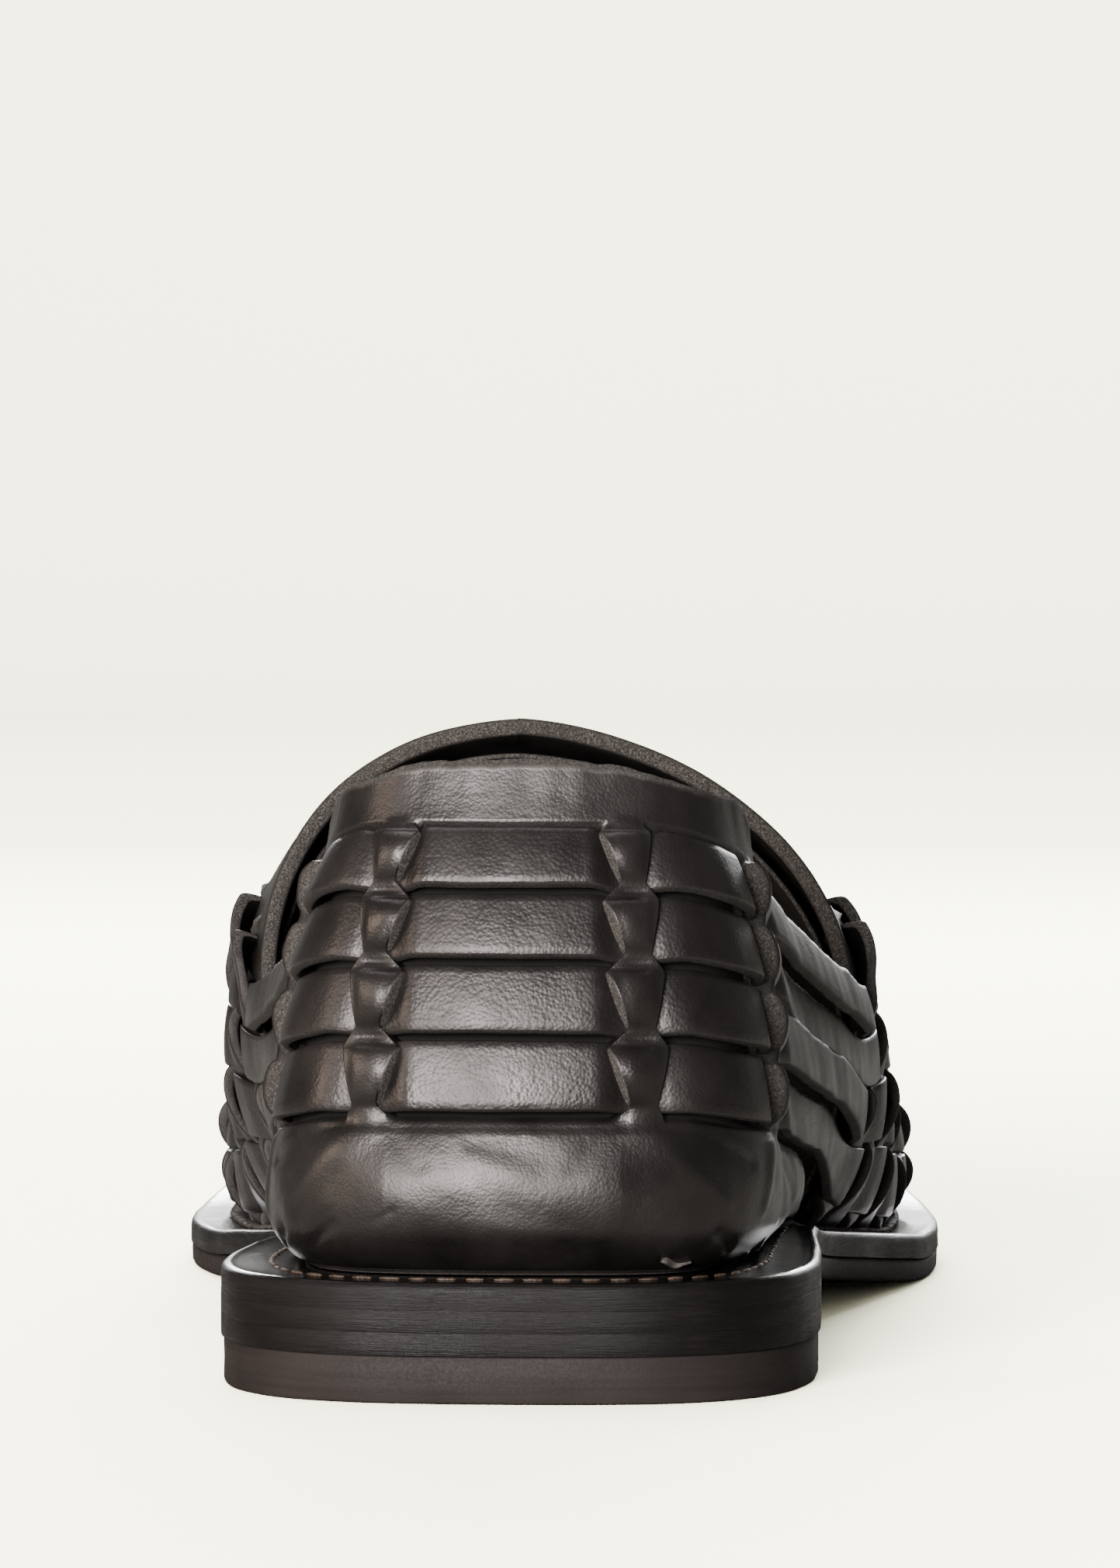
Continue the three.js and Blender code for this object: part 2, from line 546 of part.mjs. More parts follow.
// The counter wraps the heel outside the strips, with slits where they come out, and a low wing on each side.
function makeCounter() {
  const outer = VAMP_LIFT - COUNTER_THICKNESS;
  const bothSides = [...counterArcs.slice(1).reverse().map((arc) => -arc), ...counterArcs];
  const wrap = (depth) =>
    bothSides.map((arc) => {
      const u = uAtArc(arc);
      const low = rowLine(u, -wingRow);
      const edge = vAtHeight(u, BACK_HEIGHT * counterTopShare(Math.abs(arc) / COUNTER_FRONT));
      const high = Math.max(edge, rowLine(u, STRIP_ROWS + counterMargin));
      return [...spread(COUNTER_FOOT, low, WING_ROWS), ...spread(low, high, COUNTER_ROWS).slice(1)]
        .map((v) => upperPoint(u, v, depth));
    });
  const wing = (side) => (depth) =>
    [counterArcs[counterArcs.length - 2], COUNTER_FRONT, ...wingArcs].map((arc) => {
      const u = uAtArc(side * arc);
      const round = Math.max((arc - COUNTER_FRONT) / (WING_FRONT - COUNTER_FRONT), 0);
      return spread(COUNTER_FOOT, rowLine(u, -wingRow) * Math.sqrt(1 - round ** 4), WING_ROWS)
        .map((v) => upperPoint(u, v, depth));
    });
  const cutter = (place) => patch(place, 3, 1, () => outer - CUT_PAST, VAMP_LIFT + CUT_PAST);
  let counter = slab(wrap(outer), wrap(VAMP_LIFT));
  for (const side of [1, -1]) counter = counter.add(slab(wing(side)(outer), wing(side)(VAMP_LIFT)));
  for (const window of WINDOWS)
    for (let row = 0; row < STRIP_ROWS; row += 1)
      counter = counter.subtract(cutter(windowPlace(window, row, 0)));
  return counter;
}

// The vamp covers the instep and toe outside the wall, from the throat down to just over the top row of strips.
const VAMP_EDGE = 0.012; // its lower edge over the strips, as a share of the way to the ridge
function makeVamp(opening) {
  const covered = (u) => u > weaveStart - 1 && u < ROUND - weaveStart + 1;
  const over = wallColumns().filter(({ u, groove }) => !groove && covered(u));
  const lines = (u) => [weaveTop(u) + VAMP_EDGE, ...spread(weaveTop(u), 1, TOP_LINES).slice(1)];
  const grid = (depth) => over.map(({ u }) => lines(u).map((v) => upperPoint(u, v, depth)));
  return slab(grid(VAMP_LIFT - VAMP_THICKNESS), grid(VAMP_LIFT), ["high"]).subtract(opening);
}

function meshOf(name, solid, { color, roughness }) {
  const mesh = solid.getMesh();
  const geometry = new THREE.BufferGeometry();
  geometry.setAttribute("position", new THREE.BufferAttribute(new Float32Array(mesh.vertProperties), 3));
  geometry.setIndex(new THREE.BufferAttribute(new Uint32Array(mesh.triVerts), 1));
  geometry.computeVertexNormals();
  const material = new THREE.MeshStandardMaterial({ color, roughness, metalness: 0, flatShading: true });
  const made = new THREE.Mesh(geometry, material);
  made.name = name;
  return made;
}

// Colours of the leather and rubber.
const SMOOTH_LEATHER = { color: 0x1d1a19, roughness: 0.42 };
const STRIP_LEATHER = { color: 0x221f1e, roughness: 0.5 };
const SOLE_EDGE = { color: 0x1a1615, roughness: 0.3 };
const RUBBER = { color: 0x3b3330, roughness: 0.7 };
const INSOLE_LEATHER = { color: 0x171413, roughness: 0.55 };

const soleUnder = HEEL_SEAT - SOLE_LEATHER;
const liftJoint = (soleUnder + TOP_LIFT) / 2;
const LIFT_INSET = 0.3;

const shoe = new THREE.Group();
shoe.add(
  meshOf("upper", makeUpper(makeOpening()), STRIP_LEATHER),
  meshOf("vamp", makeVamp(makeOpening()), SMOOTH_LEATHER),
  meshOf("counter", makeCounter(), SMOOTH_LEATHER),
  meshOf("insole", makeInsole(), INSOLE_LEATHER),
  meshOf("leather_sole", makeLeatherSole(), SOLE_EDGE),
  meshOf("rubber_sole", makeRubberSole(), RUBBER),
  meshOf("heel_lift_upper", makeLift(liftJoint, soleUnder, LIFT_INSET), SOLE_EDGE),
  meshOf("heel_lift_lower", makeLift(TOP_LIFT, liftJoint, LIFT_INSET), SOLE_EDGE),
  meshOf("heel_top_piece", makeLift(0, TOP_LIFT, RUBBER_INSET), RUBBER),
);
shoe.position.y = -HEEL_REST;

export default shoe;
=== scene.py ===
import math

import bmesh
import bpy
import numpy as np
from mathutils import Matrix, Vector


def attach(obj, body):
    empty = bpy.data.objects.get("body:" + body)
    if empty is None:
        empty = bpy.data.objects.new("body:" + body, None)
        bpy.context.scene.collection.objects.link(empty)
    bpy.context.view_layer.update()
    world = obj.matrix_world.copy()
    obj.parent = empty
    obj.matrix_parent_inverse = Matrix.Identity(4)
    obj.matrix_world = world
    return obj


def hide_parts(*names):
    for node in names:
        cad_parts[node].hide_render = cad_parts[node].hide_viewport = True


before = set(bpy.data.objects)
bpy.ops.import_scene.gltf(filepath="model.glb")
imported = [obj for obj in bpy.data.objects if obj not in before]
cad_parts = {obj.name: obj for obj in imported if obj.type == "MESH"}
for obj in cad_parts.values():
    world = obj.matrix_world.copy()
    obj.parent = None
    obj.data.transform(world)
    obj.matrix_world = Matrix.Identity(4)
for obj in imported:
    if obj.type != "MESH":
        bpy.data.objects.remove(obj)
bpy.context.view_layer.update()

# The camera stands about a metre and a quarter behind the shoe, a little to its right and just over its
# topline, with a long lens: the heel fills the picture and the forefoot shows small on both sides of it.
CAMERA_PLACE = (0.088, -1.235, 0.132)
CAMERA_TURN = math.radians(3.84)  # to the left of straight ahead
CAMERA_DIP = math.radians(2.58)
LENS = 221.9
camera_data = bpy.data.cameras.new("camera")
camera_data.lens = LENS
camera_data.sensor_width = 36.0
camera_data.clip_end = 50.0
camera = bpy.data.objects.new("camera", camera_data)
camera.location = CAMERA_PLACE
camera.rotation_euler = (math.pi / 2 - CAMERA_DIP, 0.0, CAMERA_TURN)
bpy.context.scene.collection.objects.link(camera)
bpy.context.scene.camera = camera


# The studio: a pale paper sweep that rises behind the shoe and has a light of its own. A broad, low light behind
# the camera gives the heel its sheen; weaker ones stand over the shoe, warm on its left, and behind it, where
# they draw its edges.
def nodes_of(material):
    """The material's node tree and its shader."""
    material.use_nodes = True
    tree = material.node_tree
    return tree, next(node for node in tree.nodes if node.type == "BSDF_PRINCIPLED")


def soft_light(name, place, aim, size, watts, colour):
    """A rectangular light at a place, turned to its aim; size is its width and height."""
    data = bpy.data.lights.new(name, "AREA")
    data.shape = "RECTANGLE"
    data.size, data.size_y = size
    data.energy = watts
    data.color = colour
    light = bpy.data.objects.new(name, data)
    light.location = place
    light.rotation_euler = (Vector(aim) - Vector(place)).to_track_quat("-Z", "Y").to_euler()
    bpy.context.scene.collection.objects.link(light)
    return light


def feed(tree, socket, source):
    """Links a socket to another one, or sets it to a value."""
    if hasattr(source, "is_linked"):
        tree.links.new(source, socket)
    else:
        socket.default_value = source


def mixed(tree, kind, share, first, second):
    """Output of a Mix node of a kind (FLOAT or RGBA): first where share is 0, second where it is 1."""
    made = tree.nodes.new("ShaderNodeMix")
    made.data_type = kind
    low, output = (2, 0) if kind == "FLOAT" else (6, 2)
    tree.links.new(share, made.inputs["Factor"])
    feed(tree, made.inputs[low], first)
    feed(tree, made.inputs[low + 1], second)
    return made.outputs[output]


PAPER = (0.3, 0.29, 0.27, 1.0)  # as the shoe sees it
PAPER_SEEN = (4.6, 4.6, 3.45, 1.0)  # as the camera does: overexposed
RIM_SPREAD = 60.0  # degrees
world = bpy.data.worlds.new("studio")
bpy.context.scene.world = world
world.use_nodes = True
sky = world.node_tree.nodes["Background"]
sky.inputs["Color"].default_value = (1.0, 0.985, 0.95, 1.0)
sky.inputs["Strength"].default_value = 0.16
soft_light("light_behind_camera", (-0.45, -1.9, 0.42), (0.0, 0.0, 0.03), (0.8, 0.6), 98.0, (1.0, 0.96, 0.94))
soft_light("light_over", (-0.15, 0.35, 1.3), (0.0, 0.08, 0.03), (1.0, 0.8), 9.0, (1.0, 0.98, 0.96))
soft_light("light_backdrop", (0.0, 0.9, 1.6), (0.0, 2.4, 1.1), (3.0, 0.6), 58.0, (1.0, 0.99, 0.97))
soft_light("light_left", (-1.2, -0.5, 0.35), (0.0, 0.0, 0.04), (0.5, 0.5), 8.0, (1.0, 0.8, 0.64))
rim = soft_light("light_rim", (0.0, 1.7, 0.5), (0.0, 0.1, 0.03), (1.2, 0.3), 6.5, (1.0, 0.99, 1.0))
rim.data.spread = math.radians(RIM_SPREAD)

SWEEP_BACK, SWEEP_RADIUS, SWEEP_SIDE, SWEEP_FRONT, SWEEP_HEIGHT = 2.2, 1.2, 4.0, -4.0, 4.0
bend = [(SWEEP_BACK + SWEEP_RADIUS * math.sin(a), SWEEP_RADIUS * (1 - math.cos(a)))
        for a in np.linspace(0, math.pi / 2, 25)]
profile = [(SWEEP_FRONT, 0.0), *bend, (SWEEP_BACK + SWEEP_RADIUS, SWEEP_HEIGHT)]
sweep_mesh = bpy.data.meshes.new("floor")
sweep_mesh.from_pydata(
    [(x, y, z) for y, z in profile for x in (-SWEEP_SIDE, SWEEP_SIDE)], [],
    [(2 * i, 2 * i + 1, 2 * i + 3, 2 * i + 2) for i in range(len(profile) - 1)])
floor = bpy.data.objects.new("floor", sweep_mesh)
bpy.context.scene.collection.objects.link(floor)
paper = bpy.data.materials.new("paper")
tree, shader = nodes_of(paper)
seen = tree.nodes.new("ShaderNodeLightPath").outputs["Is Camera Ray"]
tree.links.new(mixed(tree, "RGBA", seen, PAPER, PAPER_SEEN), shader.inputs["Base Color"])
shader.inputs["Roughness"].default_value = 0.95
shader.inputs["Specular IOR Level"].default_value = 0.1
sweep_mesh.materials.append(paper)
for face in sweep_mesh.polygons:
    face.use_smooth = True


# The last: every piece follows one form. The sole's outline and the upper's section are given at stations from
# heel to toe, as in the part's own source, in millimetres from the back of the sole.
SOLE_LENGTH, BALL_WIDTH, HEEL_WIDTH = 292.0, 108.0, 77.0
HEEL_SEAT, TOE_SPRING, INSTEP_HEIGHT, BACK_HEIGHT = 15.3, 10.0, 82.0, 80.0
SOLE_LEATHER, SOLE_RUBBER, TOP_LIFT, HEEL_LENGTH = 3.5, 3.2, 6.1, 70.0
LEDGE = 6.5
GAP = 0.3
HEEL_REST = 35.0
STATIONS = [
    # along, ball, lateral, medial, ledge, ridge, shift, swellL, swellM, squareL, squareM, foot, top
    [0.0, 0, 0.0, 0.0, 1.05, 0.13, -0.03, 0.034, 0.034, 1.0, 1.0, 0.147, 0.438],  # heel back
    [0.008, 0, 0.27, 0.27, 1.1, 0.132, -0.03, 0.034, 0.03, 1.0, 1.0, 0.146, 0.438],
    [0.04, 0, 0.427, 0.427, 1.2, 0.14, -0.03, 0.04, 0.022, 1.0, 1.0, 0.141, 0.43],
    [0.098, 0, 0.494, 0.494, 1.3, 0.158, -0.03, 0.046, 0.014, 1.0, 1.0, 0.135, 0.41],
    [0.178, 0, 0.494, 0.481, 1.25, 0.195, -0.02, 0.057, 0.03, 1.0, 1.0, 0.115, 0.35],
    [0.267, 0.3, 0.423, 0.383, 0.95, 0.267, 0.01, 0.1, 0.085, 1.0, 0.9, 0.085, 0.305],
    [0.356, 0.55, 0.393, 0.345, 0.75, 0.356, 0.048, 0.12, 0.142, 0.966, 0.72, 0.035, 0.317],  # waist
    [0.452, 0.8, 0.412, 0.392, 0.9, 0.452, 0.053, 0.095, 0.14, 0.91, 0.64, 0.02, 0.44],
    [0.548, 1, 0.44, 0.477, 1.1, 0.548, 0.055, 0.046, 0.058, 1.02, 0.75, 0.02, 0.49],
    [0.634, 1, 0.458, 0.54, 1.2, 0.634, 0.055, 0.039, 0.03, 1.0, 0.8, 0.02, 0.49],  # ball
    [0.736, 1, 0.431, 0.546, 1.15, 0.713, 0.07, 0.043, 0.038, 0.95, 0.82, 0.02, 0.53],
    [0.832, 1, 0.362, 0.516, 1.0, 0.766, 0.098, 0.036, 0.036, 0.9, 0.85, 0.02, 0.58],
    [0.911, 1, 0.258, 0.452, 1.0, 0.805, 0.122, 0.032, 0.033, 0.88, 0.86, 0.02, 0.63],
    [0.973, 1, 0.095, 0.345, 1.0, 0.83, 0.14, 0.03, 0.031, 0.86, 0.86, 0.02, 0.67],
    [1.0, 1, -0.13, 0.13, 1.0, 0.84, 0.15, 0.03, 0.03, 0.86, 0.86, 0.02, 0.68],  # toe tip
]
COLUMN = dict(zip(
    "along ball lateral medial ledge ridge shift swellL swellM squareL squareM foot top".split(), range(13)))
SEAT_LINE = np.array([
    # along, heel, spring
    [0.0, 1, 0], [0.28, 1, 0], [0.342, 0.76, 0], [0.445, 0.4, 0], [0.514, 0.17, 0],
    [0.58, 0, 0], [0.69, 0, 0], [0.8, 0, 0.17], [0.9, 0, 0.52], [1.0, 0, 1],
])
RIDGE_LINE = np.array([
    # along, height
    [0.13, 1.27], [0.195, 1.2], [0.267, 1.11], [0.356, 0.991], [0.452, 0.872], [0.548, 0.732],
    [0.634, 0.618], [0.713, 0.532], [0.766, 0.485], [0.805, 0.462], [0.84, 0.445],
])
LAST_STATION = len(STATIONS) - 1
ROUND = 2 * LAST_STATION


def loop_curve(values):
    """Smooth curve through values that repeat once round the shoe."""
    values = np.array(values, dtype=float)
    n = len(values)

    def curve(u):
        i = np.floor(u).astype(int)
        t = u - i
        a, b, c, d = (values[(i + k) % n] for k in (-1, 0, 1, 2))
        return b + 0.5 * t * (c - a + t * (2 * a - 5 * b + 4 * c - d + t * (3 * (b - c) + d - a)))

    return curve


def level_curve(xs, ys):
    """Smooth curve through points that never overshoots, so that a level stretch stays level."""
    slope = np.diff(ys) / np.diff(xs)
    before, after = np.r_[slope[0], slope], np.r_[slope, slope[-1]]
    both = before + after
    tangent = np.where(before * after > 0, 2 * before * after / np.where(both == 0, 1, both), 0.0)

    def curve(x):
        at = np.clip(x, xs[0], xs[-1])
        k = np.clip(np.searchsorted(xs, at, side="right") - 1, 0, len(xs) - 2)
        h = xs[k + 1] - xs[k]
        t = (at - xs[k]) / h
        flat = ys[k] * (1 + 2 * t) * (1 - t) ** 2 + ys[k + 1] * t * t * (3 - 2 * t)
        return flat + h * t * (1 - t) * (tangent[k] * (1 - t) - tangent[k + 1] * t)

    return curve


def station_curve(lateral, medial=None):
    medial = medial or lateral
    rows = [dict(zip(COLUMN, row)) for row in STATIONS]
    return loop_curve([lateral(row) for row in rows] + [medial(row) for row in rows[-2:0:-1]])


def width_at(row):
    return HEEL_WIDTH + (BALL_WIDTH - HEEL_WIDTH) * row["ball"]


edge_x = station_curve(lambda r: r["lateral"] * width_at(r), lambda r: -r["medial"] * width_at(r))
edge_y = station_curve(lambda r: r["along"] * SOLE_LENGTH)
ledge = station_curve(lambda r: r["ledge"] * LEDGE)
ridge_x = station_curve(lambda r: -r["shift"] * BALL_WIDTH)
ridge_y = station_curve(lambda r: r["ridge"] * SOLE_LENGTH)
swell = station_curve(lambda r: r["swellL"] * BALL_WIDTH, lambda r: r["swellM"] * BALL_WIDTH)
square = station_curve(lambda r: r["squareL"], lambda r: r["squareM"])
weave_foot = station_curve(lambda r: r["foot"])
weave_top = station_curve(lambda r: r["top"])
seat_heel = level_curve(SEAT_LINE[:, 0], SEAT_LINE[:, 1])
seat_spring = level_curve(SEAT_LINE[:, 0], SEAT_LINE[:, 2])
ridge_height = level_curve(RIDGE_LINE[:, 0], RIDGE_LINE[:, 1])
SOLE_THICKNESS = SOLE_LEATHER + SOLE_RUBBER


def seat(y):
    """Top of the leather sole at a distance y from its back."""
    along = y / SOLE_LENGTH
    return SOLE_THICKNESS + (HEEL_SEAT - SOLE_THICKNESS) * seat_heel(along) + TOE_SPRING * seat_spring(along)


def outline(u, inset):
    """The sole's outline at u, moved in by inset."""
    step = 0.01
    along = np.stack([edge_x(u + step) - edge_x(u - step), edge_y(u + step) - edge_y(u - step)], -1)
    along /= np.linalg.norm(along, axis=-1, keepdims=True)
    return edge_x(u) - along[..., 1] * inset, edge_y(u) + along[..., 0] * inset


def unit(vectors):
    return vectors / np.maximum(np.linalg.norm(vectors, axis=-1, keepdims=True), 1e-12)


# The leather sole runs the whole length under the upper and stands out round it as a ledge. It is cut from one
# thick bend of leather; its edge is trimmed, inked nearly black and burnished, which leaves streaks along it and
# a glossy rim.
HALF = 210  # samples from heel to toe on one side
CORE = 12.0  # inset of the innermost ring of a flat face


def even_stations(from_u, to_u, count):
    """Stations at even distances along the outline."""
    fine = np.linspace(from_u, to_u, 4000)
    x, y = outline(fine, 0.0)
    length = np.r_[0, np.cumsum(np.hypot(np.diff(x), np.diff(y)))]
    return np.interp(np.linspace(0, length[-1], count + 1), length, fine)


def turned_block(rings):
    """A closed block from rings of (2n, 3) points, from its underside outwards, up its side and in over its
    top. In a ring, point k on the lateral side faces point 2n - k on the medial side."""
    rings = np.stack(rings, 1)
    around, levels = rings.shape[:2]
    faces = []
    for i in range(around):
        k = (i + 1) % around
        faces += [(i * levels + j, k * levels + j, k * levels + j + 1, i * levels + j + 1)
                  for j in range(levels - 1)]
    for level, upward in ((0, False), (levels - 1, True)):
        for k in range(around // 2):
            quad = [k, k + 1, (around - k - 1) % around, (around - k) % around]
            quad = [q * levels + level for q in dict.fromkeys(quad)]
            faces.append(tuple(quad if upward else quad[::-1]))
    points = rings.reshape(-1, 3)
    return points, faces, np.zeros(len(points))


def piece(name, parts, material, stands_for=()):
    """One object from parts in millimetres from the sole's back: each its points, faces and cut mask, which marks
    raw edges where positive and painted shade where negative.
    """
    points, faces, cuts, start = [], [], [], 0
    for part_points, part_faces, part_cut in parts:
        points.append(part_points)
        cuts.append(part_cut)
        faces.extend(tuple(start + k for k in face) for face in part_faces)
        start += len(part_points)
    points = np.concatenate(points)
    mesh = bpy.data.meshes.new(name)
    mesh.from_pydata(((points - (0.0, HEEL_REST, 0.0)) * 0.001).tolist(), [], faces)
    mask = np.concatenate(cuts).astype(np.float32)
    mesh.attributes.new("cut", "FLOAT", "POINT").data.foreach_set("value", mask)
    shell = bmesh.new()
    shell.from_mesh(mesh)
    bmesh.ops.remove_doubles(shell, verts=shell.verts, dist=2e-6)
    bmesh.ops.dissolve_degenerate(shell, edges=shell.edges, dist=1e-7)
    shell.to_mesh(mesh)
    shell.free()
    for face in mesh.polygons:
        face.use_smooth = True
    mesh.materials.append(material)
    made = bpy.data.objects.new(name, mesh)
    bpy.context.scene.collection.objects.link(made)
    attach(made, "root")
    if stands_for:
        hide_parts(*stands_for)
    return made


def effect_group(name, inputs, outputs):
    """An empty shader group with named inputs (and their defaults) and outputs."""
    group = bpy.data.node_groups.new(name, "ShaderNodeTree")
    for label, value in inputs.items():
        socket = group.interface.new_socket(name=label, in_out="INPUT", socket_type="NodeSocketFloat")
        socket.default_value = value
    for label in outputs:
        group.interface.new_socket(name=label, in_out="OUTPUT", socket_type="NodeSocketFloat")
    return group, group.nodes.new("NodeGroupInput"), group.nodes.new("NodeGroupOutput")


def node(tree, kind, links=None, **values):
    """A node with values set on its inputs or properties, and links to its inputs by name or number."""
    made = tree.nodes.new(kind)
    for label, value in values.items():
        if hasattr(made, label):
            setattr(made, label, value)
        else:
            made.inputs[label].default_value = value
    for key, source in (links or {}).items():
        tree.links.new(source, made.inputs[key])
    return made


def maths(tree, operation, a, b):
    """A Math node on two sockets or numbers."""
    made = tree.nodes.new("ShaderNodeMath")
    made.operation = operation
    feed(tree, made.inputs[0], a)
    feed(tree, made.inputs[1], b)
    return made.outputs[0]


def streaks_group():
    """Streaks of a burnished edge: fine noise drawn out along the edge, with the layer's wider bands."""
    group, given, result = effect_group("burnished streaks", {"Fineness": 1500.0}, ["Height", "Tone"])
    place = group.nodes.new("ShaderNodeTexCoord").outputs["Object"]
    stretched = node(group, "ShaderNodeMapping", {"Vector": place}, Scale=(0.035, 0.035, 1.0))
    along = stretched.outputs[0]
    fine = node(group, "ShaderNodeTexNoise", {"Vector": along, "Scale": given.outputs["Fineness"]},
                Detail=4.0, Roughness=0.6)
    wide = node(group, "ShaderNodeTexNoise", {"Vector": along}, Scale=420.0, Detail=2.0)
    blotch = node(group, "ShaderNodeTexNoise", {"Vector": place}, Scale=90.0, Detail=3.0)
    height = maths(group, "ADD", maths(group, "MULTIPLY", fine.outputs["Fac"], 0.6),
                   maths(group, "MULTIPLY", wide.outputs["Fac"], 0.4))
    tone = maths(group, "ADD", maths(group, "MULTIPLY", height, 0.65),
                 maths(group, "MULTIPLY", blotch.outputs["Fac"], 0.35))
    group.links.new(height, result.inputs["Height"])
    group.links.new(tone, result.inputs["Tone"])
    return group


def ramp(tree, source, stops):
    """A colour ramp from (place, colour) stops; a number stands for a grey."""
    made = tree.nodes.new("ShaderNodeValToRGB")
    while len(made.color_ramp.elements) < len(stops):
        made.color_ramp.elements.new(0.5)
    for element, (place, colour) in zip(made.color_ramp.elements, stops):
        element.position = place
        element.color = (*((colour,) * 3 if isinstance(colour, (int, float)) else colour), 1.0)
    tree.links.new(source, made.inputs[0])
    return made.outputs[0]


def bump(tree, height, strength, depth, under=None):
    """A Bump node over an earlier normal; depth is in metres."""
    made = node(tree, "ShaderNodeBump", {"Height": height}, Strength=strength, Distance=depth)
    if under is not None:
        tree.links.new(under, made.inputs["Normal"])
    return made.outputs[0]


streaks = streaks_group()


def burnished_leather(name, dark, light, rough_low, rough_high, rough_top):
    """Leather inked and burnished in streaks; faces that look up are polished to rough_top."""
    material = bpy.data.materials.new(name)
    tree, shader = nodes_of(material)
    effect = tree.nodes.new("ShaderNodeGroup")
    effect.node_tree = streaks
    effect.inputs["Fineness"].default_value = STREAKS_PER_METRE
    tone = effect.outputs["Tone"]
    tree.links.new(ramp(tree, tone, [(0.36, dark), (0.52, dark), (0.68, light)]), shader.inputs["Base Color"])
    outwards = tree.nodes.new("ShaderNodeNewGeometry").outputs["Normal"]
    facing = node(tree, "ShaderNodeSeparateXYZ", {"Vector": outwards})
    upward = ramp(tree, facing.outputs["Z"], [(0.6, 0.0), (0.9, 0.85)])
    rough = ramp(tree, tone, [(0.35, rough_low), (0.65, rough_high)])
    tree.links.new(mixed(tree, "FLOAT", upward, rough, rough_top), shader.inputs["Roughness"])
    tree.links.new(bump(tree, effect.outputs["Height"], 0.55, 0.00025), shader.inputs["Normal"])
    shader.inputs["Specular IOR Level"].default_value = EDGE_SHINE
    return material


STREAKS_PER_METRE = 6500.0
EDGE_SHINE = 0.2
SOLE_DARK, SOLE_LIGHT = (0.0035, 0.0028, 0.0027), (0.013, 0.0098, 0.009)
sole_edge = burnished_leather("burnished edge", SOLE_DARK, SOLE_LIGHT, 0.34, 0.66, 0.14)


def sole_ring(stations, inset, drop, trim=0.0):
    """Ring at an inset from the outline and a drop under the sole's top; trim makes the edge uneven."""
    u = np.r_[stations, ROUND - stations[-2:0:-1]]
    uneven = trim * (np.sin(5.3 * u + 2 * drop) + np.sin(11.7 * u + 1.0 + drop) + 0.6 * np.sin(31.0 * u))
    x, y = outline(u, inset + uneven)
    return np.stack([x, y, seat(y) - drop], -1)


EDGE_TRIM = 0.015
all_round = even_stations(0.0, LAST_STATION, HALF)
leather_profile = [  # inset, drop
    (CORE, SOLE_LEATHER), (0.02, SOLE_LEATHER), (0.005, SOLE_LEATHER - 0.01), (0.0, SOLE_LEATHER - 0.04),
    (0.03, 2.1), (0.0, 1.2), (0.08, 0.72), (0.3, 0.34), (0.62, 0.1), (1.0, -0.02), (1.5, 0.05), (2.2, 0.14),
    (4.0, 0.06), (CORE, 0.0),
]
piece("leather_sole_edge", [turned_block([sole_ring(all_round, *p, EDGE_TRIM) for p in leather_profile])],
      sole_edge, ["leather_sole"])


# The stacked heel: two leather lifts under the sole, burnished with it so that only faint lines show between
# the layers, and a harder rubber piece under them, a little smaller and left matt. The breast is cut hollow.
BREAST_HOLLOW = 4.0
RUBBER_INSET = 0.4
HEEL_SAMPLES = 90  # on one side
HEEL_CORE = 8.0  # inset of the innermost ring


def station_at(y):
    """The lateral station at a distance y from the sole's back."""
    low, high = 0.0, float(LAST_STATION)
    for _ in range(50):
        middle = (low + high) / 2
        low, high = (middle, high) if edge_y(np.array(middle)) < y else (low, middle)
    return (low + high) / 2


def heel_loop(inset):
    """The heel's outline as a loop of points, its breast hollowed, moved in by inset."""
    side = even_stations(0.0, station_at(HEEL_LENGTH), HEEL_SAMPLES)
    loop = np.stack(outline(np.r_[side, ROUND - side[-1:0:-1]], inset), -1)
    corner, other = loop[HEEL_SAMPLES:HEEL_SAMPLES + 2] - (0.0, inset)
    t = np.linspace(0, 1, 31)[1:-1, None]
    middle = (corner + other) / 2 - (0.0, 2 * BREAST_HOLLOW)
    breast = (1 - t) ** 2 * corner + 2 * t * (1 - t) * middle + t ** 2 * other
    return np.r_[loop[:HEEL_SAMPLES + 1], breast, loop[HEEL_SAMPLES + 1:]]


def lift_block(bottom, top, inset, corner, ripple):
    """A layer of the heel between two heights, its corners rounded and its side rippled a little."""
    bevel = corner * 0.3
    profile = [  # inset, height
        (HEEL_CORE, bottom), (corner, bottom), (bevel, bottom + bevel), (0.0, bottom + corner),
        (0.0, (bottom + top) / 2),
        (0.0, top - corner), (bevel, top - bevel), (corner, top), (HEEL_CORE, top),
    ]
    rings = []
    for extra, z in profile:
        loop = heel_loop(inset + extra)
        run = np.linspace(0, 2 * math.pi, len(loop), endpoint=False)
        wave = ripple * np.sin(17 * run + z) * (extra < 1)
        rings.append(np.c_[loop[:, 0] + wave, loop[:, 1] + wave, np.full(len(loop), z)])
    return turned_block(rings)


sole_under = HEEL_SEAT - SOLE_LEATHER
lift_joint = (sole_under + TOP_LIFT) / 2
for name, bottom, top, stands_for in (("upper_lift", lift_joint, sole_under, "heel_lift_upper"),
                                      ("lower_lift", TOP_LIFT, lift_joint, "heel_lift_lower")):
    piece(name, [lift_block(bottom, top, 0.0, 0.01, 0.0)], sole_edge, [stands_for])


RUBBER_DARK, RUBBER_LIGHT = (0.0125, 0.0096, 0.009), (0.024, 0.0185, 0.0172)


